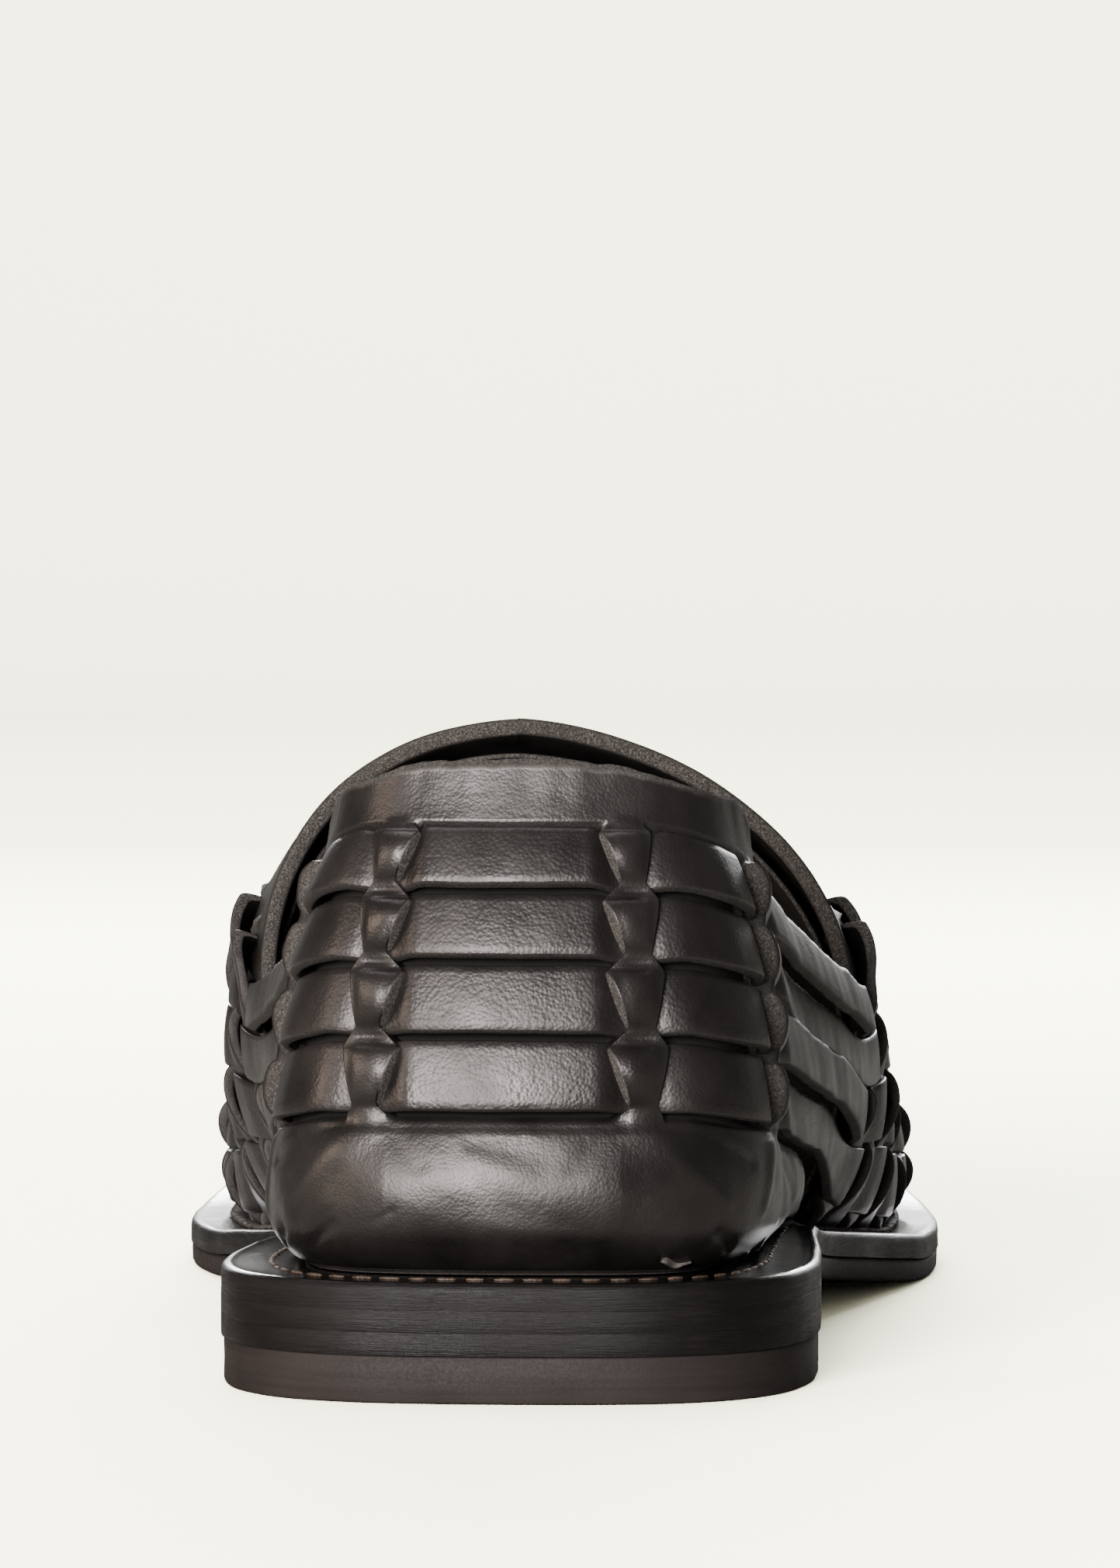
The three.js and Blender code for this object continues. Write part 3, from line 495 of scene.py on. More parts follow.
def matt_rubber():
    """Dark brown rubber, finely pitted, with faint streaks from the trimming."""
    material = bpy.data.materials.new("matt rubber")
    tree, shader = nodes_of(material)
    effect = tree.nodes.new("ShaderNodeGroup")
    effect.node_tree = streaks
    effect.inputs["Fineness"].default_value = 900.0
    place = tree.nodes.new("ShaderNodeTexCoord").outputs["Object"]
    pits = node(tree, "ShaderNodeTexNoise", {"Vector": place}, Scale=2600.0, Detail=3.0, Roughness=0.7)
    tree.links.new(ramp(tree, effect.outputs["Tone"], [(0.35, RUBBER_DARK), (0.65, RUBBER_LIGHT)]),
                   shader.inputs["Base Color"])
    tree.links.new(ramp(tree, pits.outputs["Fac"], [(0.3, 0.55), (0.7, 0.75)]), shader.inputs["Roughness"])
    under = bump(tree, effect.outputs["Height"], 0.35, 0.0002)
    tree.links.new(bump(tree, pits.outputs["Fac"], 0.35, 0.00012, under), shader.inputs["Normal"])
    shader.inputs["Specular IOR Level"].default_value = EDGE_SHINE
    return material


rubber = matt_rubber()
piece("top_piece", [lift_block(0.0, TOP_LIFT, RUBBER_INSET, 0.35, 0.04)], rubber, ["heel_top_piece"])


# The forefoot's rubber tread: one flat sheet from the heel's breast to the toe, cemented under the leather sole
# and trimmed with it, its edge rounded a little by wear.
def tread_ring(stations, inset, drop):
    """The sole's ring, cut off straight at the heel's breast."""
    ring = sole_ring(stations, inset, drop)
    start = HEEL_LENGTH + GAP + inset * 0.5
    y = np.maximum(ring[:, 1], start)
    return np.stack([ring[:, 0], y, seat(y) - drop], -1)


tread_stations = even_stations(station_at(HEEL_LENGTH + GAP), LAST_STATION, 180)
tread_profile = [  # inset, drop
    (CORE, SOLE_THICKNESS), (1.0, SOLE_THICKNESS), (0.45, SOLE_THICKNESS - 0.22), (0.2, SOLE_THICKNESS - 0.7),
    (0.15, SOLE_LEATHER + 0.7), (0.3, SOLE_LEATHER + 0.2), (CORE, SOLE_LEATHER + 0.05),
]
piece("tread", [turned_block([tread_ring(tread_stations, *p) for p in tread_profile])], rubber,
      ["rubber_sole"])


# The insole: a dark leather board inside, that the foot stands on. Round it the heel has a thin smooth lining,
# and another lies behind the woven wall, so that no light comes through the weave's small gaps.
UPPER_THICKNESS, LINING_THICKNESS, INSOLE_THICKNESS = 3.4, 1.7, 2.4
ROWS = 4


def upper_point(u, v, lift=0.0):
    """Point of the upper at u round the shoe, v from the sole (0) to the ridge (1), lift outside the wall."""
    u = np.mod(np.asarray(u, float), ROUND)
    u, v, lift = np.broadcast_arrays(u, np.asarray(v, float), np.asarray(lift, float))
    foot_x, foot_y = outline(u, ledge(u) - lift)
    plain_x, plain_y = outline(u, ledge(u))
    x, y = ridge_x(u), ridge_y(u)
    out = unit(np.stack([plain_x - x, plain_y - y], -1))
    up = np.clip(v, 0, 1)
    reach = np.maximum(np.cos(up * np.pi / 2), 0) ** square(u)
    bulge = swell(u) * np.sin(np.pi * up ** 0.7)
    low = seat(foot_y) + GAP
    high = INSTEP_HEIGHT * ridge_height(y / SOLE_LENGTH) + lift
    z = low + (high - low) * np.sin(up * np.pi / 2) + np.minimum(v, 0) * HEEL_SEAT
    wall_x = x + (foot_x - x) * reach + out[..., 0] * bulge
    wall_y = y + (foot_y - y) * reach + out[..., 1] * bulge
    return np.stack([wall_x, wall_y, z], -1)


SAG_STATIONS = [station_at(y) for y in (5.0, 32.0, 60.0, 100.0)]
ROW_SAG = 0.14  # rows by which the level strips hang lower at the counter's sides


def row_v(u, row):
    """v of a line of the weave: 0 under the lowest strip, ROWS over the highest."""
    from_heel = np.minimum(np.mod(u, ROUND), ROUND - np.mod(u, ROUND))
    row = row - ROW_SAG * np.interp(from_heel, SAG_STATIONS, (0.0, 1.0, 0.8, 0.0))
    return weave_foot(u) + (weave_top(u) - weave_foot(u)) * row / ROWS


lateral_u = np.linspace(0, LAST_STATION, LAST_STATION * 40 + 1)
half_way = upper_point(lateral_u, row_v(lateral_u, ROWS / 2))
arc_table = np.r_[0, np.cumsum(np.linalg.norm(np.diff(half_way, axis=0), axis=1))]
WALL = arc_table[-1]


def u_at(arc):
    """u at an arc round the wall from the heel's back: lateral to WALL, medial to -WALL, both at the toe."""
    u = np.interp(np.abs(arc), arc_table, lateral_u)
    return np.where(np.asarray(arc) < 0, ROUND - u, u)


def v_at_height(u, z, lift=0.0):
    """v at which the upper reaches a height z over the floor."""
    low, high = upper_point(u, np.zeros_like(u), lift)[..., 2], upper_point(u, np.ones_like(u), lift)[..., 2]
    return np.arcsin(np.clip((z - low) / (high - low), 0, 1)) * 2 / np.pi


def outward(points, faces):
    """The faces as tuples, turned round together if they enclose the points inside out."""
    corners = np.array([(f[0], f[k], f[k + 1]) for f in faces for k in range(1, len(f) - 1)])
    a, b, c = points[corners].transpose(1, 0, 2)
    volume = (a * np.cross(b, c)).sum()
    return [tuple(f if volume > 0 else f[::-1]) for f in faces]


def quads(indices):
    """Quads over a two-dimensional array of point numbers."""
    return np.stack([indices[:-1, :-1], indices[1:, :-1], indices[1:, 1:], indices[:-1, 1:]], -1).reshape(-1, 4)


def slab(outer, inner, cut=None, rim=3, bulge=0.15, skip_end=False):
    """A closed sheet of leather between two grids of points, its rim rounded and marked as a cut edge. skip_end
    leaves out the last row, where the sheet meets its own other half."""
    rows, columns = outer.shape[:2]
    size = rows * columns
    cut = np.zeros(size) if cut is None else cut.reshape(-1)
    numbers = np.arange(size).reshape(rows, columns)
    loop = np.r_[numbers[:, 0], numbers[-1, 1:], numbers[-2::-1, -1], numbers[0, -2:0:-1]]
    if skip_end:
        loop = np.r_[numbers[::-1, -1], numbers[0, -2::-1], numbers[1:, 0]]
    flat_outer, flat_inner = outer.reshape(-1, 3), inner.reshape(-1, 3)
    a, b = flat_outer[loop], flat_inner[loop]
    neighbour = numbers[np.clip(loop // columns, 1, rows - 2), np.clip(loop % columns, 1, columns - 2)]
    inward = flat_outer[neighbour] - a
    away = unit(np.cross(np.gradient(a + b, axis=0), b - a))
    away *= np.where((away * inward).sum(-1, keepdims=True) > 0, -1.0, 1.0)
    points, cuts, rings = [flat_outer, flat_inner], [cut, np.zeros(size)], [loop]
    for k in range(rim):
        t = (k + 1) / (rim + 1)
        points.append(a + (b - a) * t + away * bulge * math.sin(math.pi * t))
        cuts.append(np.ones(len(loop)))
        rings.append(2 * size + k * len(loop) + np.arange(len(loop)))
    rings = np.stack([*rings, loop + size])
    if not skip_end:
        rings = np.c_[rings, rings[:, :1]]
    faces = np.r_[quads(numbers), quads(numbers)[:, ::-1] + size, quads(rings)]
    points = np.concatenate(points)
    return points, outward(points, faces.tolist()), np.concatenate(cuts)


def swept(grid, cut, ring=False):
    """A closed strip from cross-sections of points (sections, points, 3), capped at its ends unless a ring."""
    count, size = grid.shape[:2]
    numbers = np.arange(count * size).reshape(count, size)
    numbers = np.c_[numbers, numbers[:, :1]]
    if ring:
        numbers = np.r_[numbers, numbers[:1]]
    faces = [tuple(int(k) for k in f) for f in quads(numbers)]
    if not ring:
        faces += [tuple(range(size)), tuple(range((count - 1) * size, count * size))[::-1]]
    points = grid.reshape(-1, 3)
    return points, outward(points, faces), cut.reshape(-1)


def waver(x, y, seed):
    """Soft unevenness between -1 and 1 over two directions in millimetres."""
    return (np.sin(0.31 * x + 1.7 * seed) * np.cos(0.23 * y + seed) + np.sin(0.13 * x - 0.19 * y + 2.3 * seed)
            + 0.5 * np.sin(0.71 * x + 0.53 * y + 3.1 * seed)) / 2.5


def grain_group():
    """Grain of leather: close pebbles with fine creases between them, over a soft unevenness."""
    group, given, result = effect_group("leather grain", {"Fineness": 1500.0}, ["Height", "Uneven", "Fleck"])
    place = group.nodes.new("ShaderNodeTexCoord").outputs["Object"]
    pebbles = node(group, "ShaderNodeTexVoronoi", {"Vector": place, "Scale": given.outputs["Fineness"]},
                   feature="SMOOTH_F1", Smoothness=0.6, Randomness=1.0)
    pores = node(group, "ShaderNodeTexNoise", {"Vector": place}, Scale=5200.0, Detail=2.0)
    soft = node(group, "ShaderNodeTexNoise", {"Vector": place}, Scale=110.0, Detail=4.0, Roughness=0.55)
    fleck = node(group, "ShaderNodeTexNoise", {"Vector": place}, Scale=3400.0, Detail=5.0, Roughness=0.8)
    height = maths(group, "SUBTRACT", maths(group, "MULTIPLY", pores.outputs["Fac"], 0.25),
                   pebbles.outputs["Distance"])
    group.links.new(height, result.inputs["Height"])
    group.links.new(soft.outputs["Fac"], result.inputs["Uneven"])
    group.links.new(fleck.outputs["Fac"], result.inputs["Fleck"])
    return group


grain = grain_group()
RAW_DARK, RAW_MIDDLE, RAW_PALE = (0.012, 0.0105, 0.01), (0.06, 0.055, 0.05), (0.19, 0.175, 0.15)
# Painted shade: a near-black colour and full roughness that the leather takes where its cut is negative, in the
# gaps behind the strips.
PAINTED_SHADE = (0.0008, 0.0007, 0.0006, 1.0)
RAW_ROUGH, PAINTED_SHADE_ROUGH = 0.95, 1.0
SHINE_TINT = (1.0, 0.94, 0.925, 1.0)


def leather(name, dark, light, rough, grain_depth, fineness=1500.0, raw=True):
    """Dyed leather. Where the mesh's cut is 1 a raw edge shows its grey fibres; where it is -1 the colour is
    painted shade, near black and fully rough, for the dark gaps between the counter's strips."""
    material = bpy.data.materials.new(name)
    tree, shader = nodes_of(material)
    effect = tree.nodes.new("ShaderNodeGroup")
    effect.node_tree = grain
    effect.inputs["Fineness"].default_value = fineness
    uneven, fleck = effect.outputs["Uneven"], effect.outputs["Fleck"]
    colour = ramp(tree, uneven, [(0.35, dark), (0.7, light)])
    roughness = ramp(tree, uneven, [(0.3, rough - 0.06), (0.7, rough + 0.1)])
    normal = bump(tree, effect.outputs["Height"], 0.5, grain_depth)
    normal = bump(tree, uneven, 0.3, 0.0008, normal)
    if raw:
        mask = node(tree, "ShaderNodeAttribute", attribute_name="cut").outputs["Fac"]
        # Where the cut is negative the leather is painted shade: its colour goes near black and its roughness to
        # full.
        painted_shade = maths(tree, "MULTIPLY", mask, -1.0)
        fibres = ramp(tree, fleck, [(0.4, RAW_DARK), (0.52, RAW_MIDDLE), (0.66, RAW_PALE)])
        colour = mixed(tree, "RGBA", painted_shade, mixed(tree, "RGBA", mask, colour, fibres), PAINTED_SHADE)
        roughness = mixed(tree, "FLOAT", painted_shade, mixed(tree, "FLOAT", mask, roughness, RAW_ROUGH), PAINTED_SHADE_ROUGH)
        normal = bump(tree, maths(tree, "MULTIPLY", fleck, mask), 0.8, 0.0006, normal)
    tree.links.new(colour, shader.inputs["Base Color"])
    tree.links.new(roughness, shader.inputs["Roughness"])
    tree.links.new(normal, shader.inputs["Normal"])
    shader.inputs["Specular Tint"].default_value = SHINE_TINT
    return material


INSOLE_DARK, INSOLE_LIGHT = (0.008, 0.007, 0.0065), (0.016, 0.013, 0.012)
LINING_DARK, LINING_LIGHT = (0.01, 0.0085, 0.008), (0.02, 0.016, 0.014)
insole_leather = leather("insole leather", INSOLE_DARK, INSOLE_LIGHT, 0.5, 0.00005, raw=False)
lining_leather = leather("lining", LINING_DARK, LINING_LIGHT, 0.55, 0.00006)


def insole_ring(inset, rise):
    """Ring inside the wall's foot at an inset, raised over the sole."""
    u = np.r_[all_round, ROUND - all_round[-2:0:-1]]
    at = upper_point(u, np.zeros_like(u), -(UPPER_THICKNESS + 2 * GAP + inset))
    return np.c_[at[:, :2], seat(at[:, 1]) + GAP + rise]


insole_profile = [  # inset, rise
    (6.0, 0.0), (0.2, 0.0), (0.0, 0.3), (0.0, INSOLE_THICKNESS - 0.4), (0.3, INSOLE_THICKNESS),
    (6.0, INSOLE_THICKNESS),
]
piece("insole_board", [turned_block([insole_ring(*p) for p in insole_profile])],
      insole_leather, ["insole"])

WEAVE_START, THROAT_APEX, THROAT_BELLY = 100.0, 104.0, 4.0
HEEL_LINING = 53.0  # arc to which it goes on each side
HEEL_LINING_TOP, HEEL_LINING_FALL = 72.5, 0.0022  # height at the back, and its fall with the square of the arc
LINING_PLAY = 0.75  # between the heel's lining and the wall
weave_station = station_at(WEAVE_START)
weave_rise = float(weave_top(np.array(weave_station)))
along_table = edge_y(lateral_u)


def throat_u(v):
    """Station of the throat's edge at v."""
    t = np.clip((v - weave_rise) / (1 - weave_rise), 0, 1)
    y = WEAVE_START + (THROAT_APEX - WEAVE_START) * t + 4 * THROAT_BELLY * t * (1 - t)
    return np.interp(y, along_table, lateral_u)


def over_the_instep(low, count_along, count_over, ahead=0.0):
    """Grid from the throat to the toe (rows) and from the lateral to the medial side over the ridge (columns).
    low gives v of the lower edge at u, ahead moves the throat's edge towards the toe."""
    share = np.sin(np.linspace(0, np.pi / 2, count_over))
    f = np.linspace(0, 1, count_along) ** 1.15
    u = np.empty((count_along, count_over))
    v = np.empty_like(u)
    for j, s in enumerate(share):
        start = throat_u(weave_rise + (1 - weave_rise) * s) + ahead
        u[:, j] = start + (LAST_STATION - start) * f
        v[:, j] = low(u[:, j]) + (1 - low(u[:, j])) * s
    return np.c_[u, ROUND - u[:, -2::-1]], np.c_[v, v[:, -2::-1]]


def lining_parts():
    """The sheets behind the woven wall and round the heel."""
    u, v = over_the_instep(lambda s: 0.0 * s, 90, 36, 0.12)
    inner = upper_point(u, v, -UPPER_THICKNESS - GAP)
    toe = slab(upper_point(u, v, -UPPER_THICKNESS + 0.5), inner, skip_end=True)
    arc = np.linspace(-HEEL_LINING, HEEL_LINING, 110)[:, None]
    u = u_at(arc)
    top = v_at_height(u, HEEL_LINING_TOP - HEEL_LINING_FALL * arc ** 2)
    v = top * np.linspace(0, 1, 40)
    u = np.broadcast_to(u, v.shape)
    heel = slab(upper_point(u, v, -LINING_THICKNESS - LINING_PLAY), upper_point(u, v, -UPPER_THICKNESS))
    return toe, heel


for made, side in zip(lining_parts(), ("toe", "heel")):
    piece("lining_" + side, [made], lining_leather)


# Four level strips of grained leather run once round the shoe, their edges left raw. At the heel each comes out
# of the counter's slits like a slat, its lower edge standing out, and passes under the bands between them. It
# lies free at the waist and is woven with the upright strips round the forefoot.
STRIP_THICKNESS = 1.6
STRIP_CROWN, UPRIGHT_CROWN = 0.12, 0.22  # how far a strip's middle stands over its edges
UPRIGHT_PITCH, UPRIGHT_WIDTH, UPRIGHTS = 13.2, 10.5, 16
WEAVE_DEPTH, WEAVE_MIDDLE, WEAVE_SQUARE = 1.05, -0.5, 0.6  # the power makes the wave squarer
FREE_FROM, FREE_TO, FREE_RAMP = 52.0, 112.0, 10.0  # arcs between which the level strips lie free
COUNTER_KNOTS = [  # arc, lift of a level strip's middle, how far its lower edge stands out
    (0, 0.6, 0.6), (11.2, 0.5, 0.6), (14.6, -0.75, 0.3), (16.8, -0.9, 0.1), (18.8, -0.75, 0.3),
    (20.4, -0.3, 0.5), (23.5, 0.25, 0.7), (31, 0.4, 0.8), (38.8, 0.35, 0.7), (42.0, -0.4, 0.4),
    (45, -1.0, 0.1), (50.3, -0.8, 0.4), (54.5, 0.5, 0.6),
]


def strip_section(raw):
    """Round a strip's section: across (-1 lower to 1 upper edge), height (-1 inner to 1 outer), how raw."""
    top = [(a, 1.0, 0.0) for a in np.linspace(-0.94, 0.95, 9)]
    edge = [(0.985, 0.86, 0.2), (1.0, 0.6, 0.8), (1.0, 0.0, 1.0), (1.0, -0.6, 1.0), (0.98, -0.9, 0.8)]
    under = [(a, -1.0, 0.0) for a in (0.94, 0.0, -0.94)]
    lower = [(-a, h, c) for a, h, c in edge[::-1]]
    edge = [(a, h, c * (raw > 0.5)) for a, h, c in edge]
    return np.array([(a, h, c * raw) for a, h, c in top + edge + under + lower]).T


def millimetres_per(u, v, du, dv):
    """Millimetres on the wall for a step of (du, dv)."""
    step = 1e-3
    there = upper_point(u + du * step, v + dv * step) - upper_point(u - du * step, v - dv * step)
    return np.linalg.norm(there, axis=-1) / (2 * step)


def level_lift(row):
    """Lift of a strip's middle, and how far its lower edge stands out, along the arc."""
    over = 1.5 if row % 2 else 0.2  # the free straps lie over each other by turns
    knots = COUNTER_KNOTS + [(66, over, 0.7), (95, over, 0.7), (FREE_TO, over, 0.6), (120, over * 0.8, 0.4)]
    first = WALL - (UPRIGHTS - 1) * UPRIGHT_PITCH
    for k in range(4 * (UPRIGHTS - 1) + 1):
        arc = first + k * UPRIGHT_PITCH / 4
        wave = (-1) ** row * math.cos(math.pi * (WALL - arc) / UPRIGHT_PITCH)
        wave = math.copysign(abs(wave) ** WEAVE_SQUARE, wave)
        knots.append((arc, WEAVE_MIDDLE - WEAVE_DEPTH * wave, 0.12))
    knots = np.array(knots)
    return level_curve(knots[:, 0], knots[:, 1]), level_curve(knots[:, 0], knots[:, 2])


def level_strip(row):
    """A strip in its row, once round; where it lies free it is a little wider and less even."""
    arc = np.linspace(-WALL, WALL, 1120, endpoint=False)
    u = u_at(arc)
    v = row_v(u, row + 0.5)
    pitch = millimetres_per(u, v, 0, 1) * (weave_top(u) - weave_foot(u)) / ROWS
    away = np.abs(arc)
    free = np.clip((away - FREE_FROM) / FREE_RAMP, 0, 1) * np.clip((FREE_TO - away) / FREE_RAMP, 0, 1)
    half = pitch * (0.457 + 0.01 * waver(arc, 9.0 * row, 1.0) + 0.06 * free) / millimetres_per(u, v, 0, 1)
    lift, out = (curve(away) for curve in level_lift(row))
    lift = lift + 0.08 * waver(arc * 1.4, 20.0 * row, 2.0) * (1 + free)
    v = v + half * 0.08 * waver(arc * 0.8, 31.0 * row, 4.0) * free
    across, height, cut = strip_section(0.3)
    crown = STRIP_CROWN * (1 - across ** 2) * (height > 0.99)
    lifts = lift[:, None] + height * STRIP_THICKNESS / 2 + crown - out[:, None] * across
    grid = upper_point(u[:, None], v[:, None] + half[:, None] * across, lifts)
    return swept(grid, np.broadcast_to(cut, lifts.shape), ring=True)


STRIP_DARK, STRIP_LIGHT = (0.0045, 0.0038, 0.0037), (0.01, 0.0084, 0.0081)
strip_leather = leather("grained strip leather", STRIP_DARK, STRIP_LIGHT, 0.4, 0.00008, 2200.0)
for row in range(ROWS):
    piece(f"level_strip_{row + 1}", [level_strip(row)], strip_leather, ["upper"])


# Upright strips stand side by side round the forefoot, sewn in under the sole's ledge. Each goes over and under
# the level strips in turn, then up over the vamp's edge as a pointed loop that ends in a slit of the vamp.
LOOP_RISE, LOOP_UNEVEN = 7.5, 1.6  # millimetres over the highest level strip
LOOP_LIFT, LOOP_BOW, LOOP_TUCK = 1.55, 0.5, -0.6  # lift of a loop, its bow in the middle, lift of its end
LOOP_DIVES = 0.72  # share of the loop after which it goes down into its slit
FOOT_LIFT = -0.25
EDGE_TWIST, TWIST_UNEVEN = -1.2, 0.4  # how far the edge towards the toe drops where a strip lies on top
loop_dice = np.random.default_rng(7)
loop_ends = []  # u and v of each loop's end


def upright(i, side):
    """The i-th upright strip from the toe, lateral where side is 1 and medial where it is -1."""
    u0 = float(u_at(WALL - i * UPRIGHT_PITCH))
    foot, top = float(weave_foot(np.array(u0))), float(weave_top(np.array(u0)))
    scale = float(millimetres_per(np.array(u0), np.array(top), 0, 1))
    rise = LOOP_RISE + LOOP_UNEVEN * loop_dice.uniform(-1, 1)
    end = min(top + rise / scale, 0.985)
    loop_ends.append((u0 if side > 0 else ROUND - u0, end))
    v = np.r_[np.linspace(-0.012, top, 54), top + (end - top) * np.sin(np.linspace(0, np.pi / 2, 25)[1:])]
    row = (v - foot) / (top - foot) * ROWS
    beyond = np.clip((v - top) / (end - top), 0, 1)
    wave = (-1) ** i * np.cos(np.pi * (row - 0.5))
    weave = WEAVE_MIDDLE + WEAVE_DEPTH * np.sign(wave) * np.abs(wave) ** WEAVE_SQUARE
    below = np.clip(-row * 2 + 0.4, 0, 1)
    lift = weave * (1 - below) + FOOT_LIFT * below
    over = LOOP_LIFT + LOOP_BOW * np.sin(np.pi * np.minimum(beyond * 1.1, 1))
    mix = np.clip((row - (ROWS - 0.55)) / 0.6, 0, 1)
    mix = mix * mix * (3 - 2 * mix)
    lift = lift * (1 - mix) + over * mix
    dive = np.clip((beyond - LOOP_DIVES) / (1 - LOOP_DIVES), 0, 1)
    lift = lift * (1 - dive ** 2) + LOOP_TUCK * dive ** 2
    half = UPRIGHT_WIDTH / 2 * np.where(beyond > 0, np.maximum(1 - beyond, 0.0) ** 0.8 * 0.94 + 0.06, 1.0)
    half = half * (1 - 0.06 * np.cos(2 * np.pi * row) * (beyond == 0))
    sway = 0.9 * loop_dice.uniform(-1, 1) * beyond + 0.25 * np.sin(row * 1.3 + i)
    crossing = np.clip((weave - WEAVE_MIDDLE) / WEAVE_DEPTH, 0, 1) * (1 - mix) + mix * (1 - dive)
    twist = 0.2 * loop_dice.uniform(-1, 1) + (EDGE_TWIST + TWIST_UNEVEN * loop_dice.uniform(-1, 1)) * crossing
    u = np.full_like(v, u0)
    per = millimetres_per(u, v, 1, 0)
    across, height, cut = strip_section(1.0)
    crown = UPRIGHT_CROWN * (1 - across ** 2) * (height > 0.99)
    lifts = lift[:, None] + height * STRIP_THICKNESS / 2 + crown + twist[:, None] * across
    u = u[:, None] + (sway[:, None] + half[:, None] * across) / per[:, None]
    grid = upper_point(u if side > 0 else ROUND - u, np.broadcast_to(v[:, None], u.shape), lifts)
    return swept(grid, cut * (0.2 + 0.8 * np.clip(beyond * 3, 0, 1))[:, None])


UPRIGHT_DARK, UPRIGHT_LIGHT = (0.0045, 0.0037, 0.0035), (0.01, 0.0082, 0.0078)
upright_leather = leather("upright strip leather", UPRIGHT_DARK, UPRIGHT_LIGHT, 0.44, 0.00008, 2000.0)
for side, name, first in ((1, "lateral", 0), (-1, "medial", 1)):
    piece("upright_strips_" + name, [upright(i, side) for i in range(first, UPRIGHTS)],
          upright_leather, ["upper"])


# The counter: thick smooth leather wrapped round the heel outside the strips, with slits where they come out. The
# strip that dives under a slit's raw edge pushes it out into a lip. The bands between the slits are puffed out
# by the strips behind them and pinched in between the rows. The top edge is raw and frays into loose fibres.
# The leather floor seen in the narrow gaps between the strips is painted near black as shade.
TOP_SHARES = np.array([(0.0, 1.0), (0.3, 0.99), (0.45, 0.968), (0.7, 0.937), (0.92, 0.915), (1.0, 0.88)])
counter_top = level_curve(TOP_SHARES[:, 0], TOP_SHARES[:, 1])
COUNTER_FRONT, COUNTER_FOOT = 50.0, 0.004
COUNTER_LIFT, COUNTER_SHEET = 0.5, 1.25  # how far it lies outside the wall by itself, and its thickness
COUNTER_SIDE = 47.0  # arc from which it lies flat against the wall
SLITS = (14.2, 19.3, 44.2)  # arcs of the bands' edges
SLIT_LEAN = (1.3, 0.8, 0.9)
EDGE_SHARE = 1.1 / 9  # of a row's pitch, from its line to its strip's edge
CUT_WIDTHS = (1.4, 0.5, 3.3)  # a slit's slanting raw edge, from the back forward
LIPS = (1.9, 1.0, 2.5)  # how far the strip pushes each slit's edge out at the middle of a row
BETWEEN = (0.2, 0.5, 0.5)  # share of that push left between two rows
WINDOW_FLOOR = -1.8  # lift of the leather behind the strips
PUFF, PINCH, PINCH_WIDTH = 1.5, 0.9, 0.24  # of the bands' middle, the width in rows
BELLY_HEIGHT = 21.0  # from the sole to the lowest strip
BELLY_ARCS, BELLY_FULLNESS = (0, 14, 26), (2.7, 2.7, 1.5)
FOOT_TUCK, FOOT_TUCK_HEIGHT = 2.0, 5.5


def slit_columns():
    """Arc and lean of the counter's columns from the back to its front edge."""
    fine = np.array([0.0, 0.1, 0.3, 0.6, 1.0, 1.5, 2.1])
    (a, la), (b, lb), (c, lc) = zip(SLITS, (SLIT_LEAN[0], -SLIT_LEAN[1], SLIT_LEAN[2]))
    cut_a, cut_b, cut_c = (np.r_[width + 0.3, width * np.linspace(1, 0.15, count)]
                           for width, count in zip(CUT_WIDTHS, (6, 3, 8)))
    groups = [  # arcs, and the lean of the first and the last of them
        (np.linspace(0, a - 2.2, 20), 0, la), (a - cut_a, la, la), (a + fine[:6], la, 0.35 * la),
        (b - fine[5::-1], 0.35 * lb, lb), (b + cut_b[::-1], lb, lb),
        (np.linspace(b + 1.4, c - 4.2, 34), lb, lc), (c - cut_c, lc, lc), (c + fine, lc, lc),
        (np.linspace(c + 2.7, COUNTER_FRONT - 0.8, 6), lc, 0),
        (np.array([COUNTER_FRONT - 0.3, COUNTER_FRONT]), 0, 0),
    ]
    arcs = np.concatenate([g[0] for g in groups])
    leans = np.concatenate([np.linspace(g[1], g[2], len(g[0])) for g in groups])
    return arcs, leans


def ridge_line(a, h, start, end, width):
    """A soft ridge between two points (arc, height), 1 along its crest."""
    start, end = np.array(start, float), np.array(end, float)
    line = end - start
    t = np.clip(((a - start[0]) * line[0] + (h - start[1]) * line[1]) / (line @ line), 0, 1)
    away = np.hypot(a - start[0] - t * line[0], h - start[1] - t * line[1])
    return np.exp(-(away / (width * (1.25 - 0.6 * t))) ** 2)


FOLDS = [  # from (arc, height over the sole), to, width, depth
    ((16, 21), (27, 9), 2.2, 0.5), ((-16, 21), (-28, 8), 2.4, 0.55), ((15, 21), (9, 14), 2.2, -0.18),
    ((-15, 21), (-10, 14), 2.0, -0.2), ((20, 20), (33, 15), 1.8, -0.3), ((-20, 20), (-34, 15), 1.9, -0.35),
    ((43, 20), (37, 8), 1.8, 0.5), ((-43, 20), (-38, 7), 1.9, 0.5), ((-21, 6), (-25, 3), 0.7, -0.5),
    ((27, 5), (31, 2.5), 0.8, -0.6), ((-31, 5), (-35, 2.5), 0.8, -0.6), ((-13, 8), (-15.5, 6.5), 0.35, -0.12),
    ((-21, 8), (-23.5, 6), 0.35, -0.14), ((5, 15), (-3, 17), 2.2, -0.2), ((-5, 6), (8, 5), 1.6, 0.2),
]


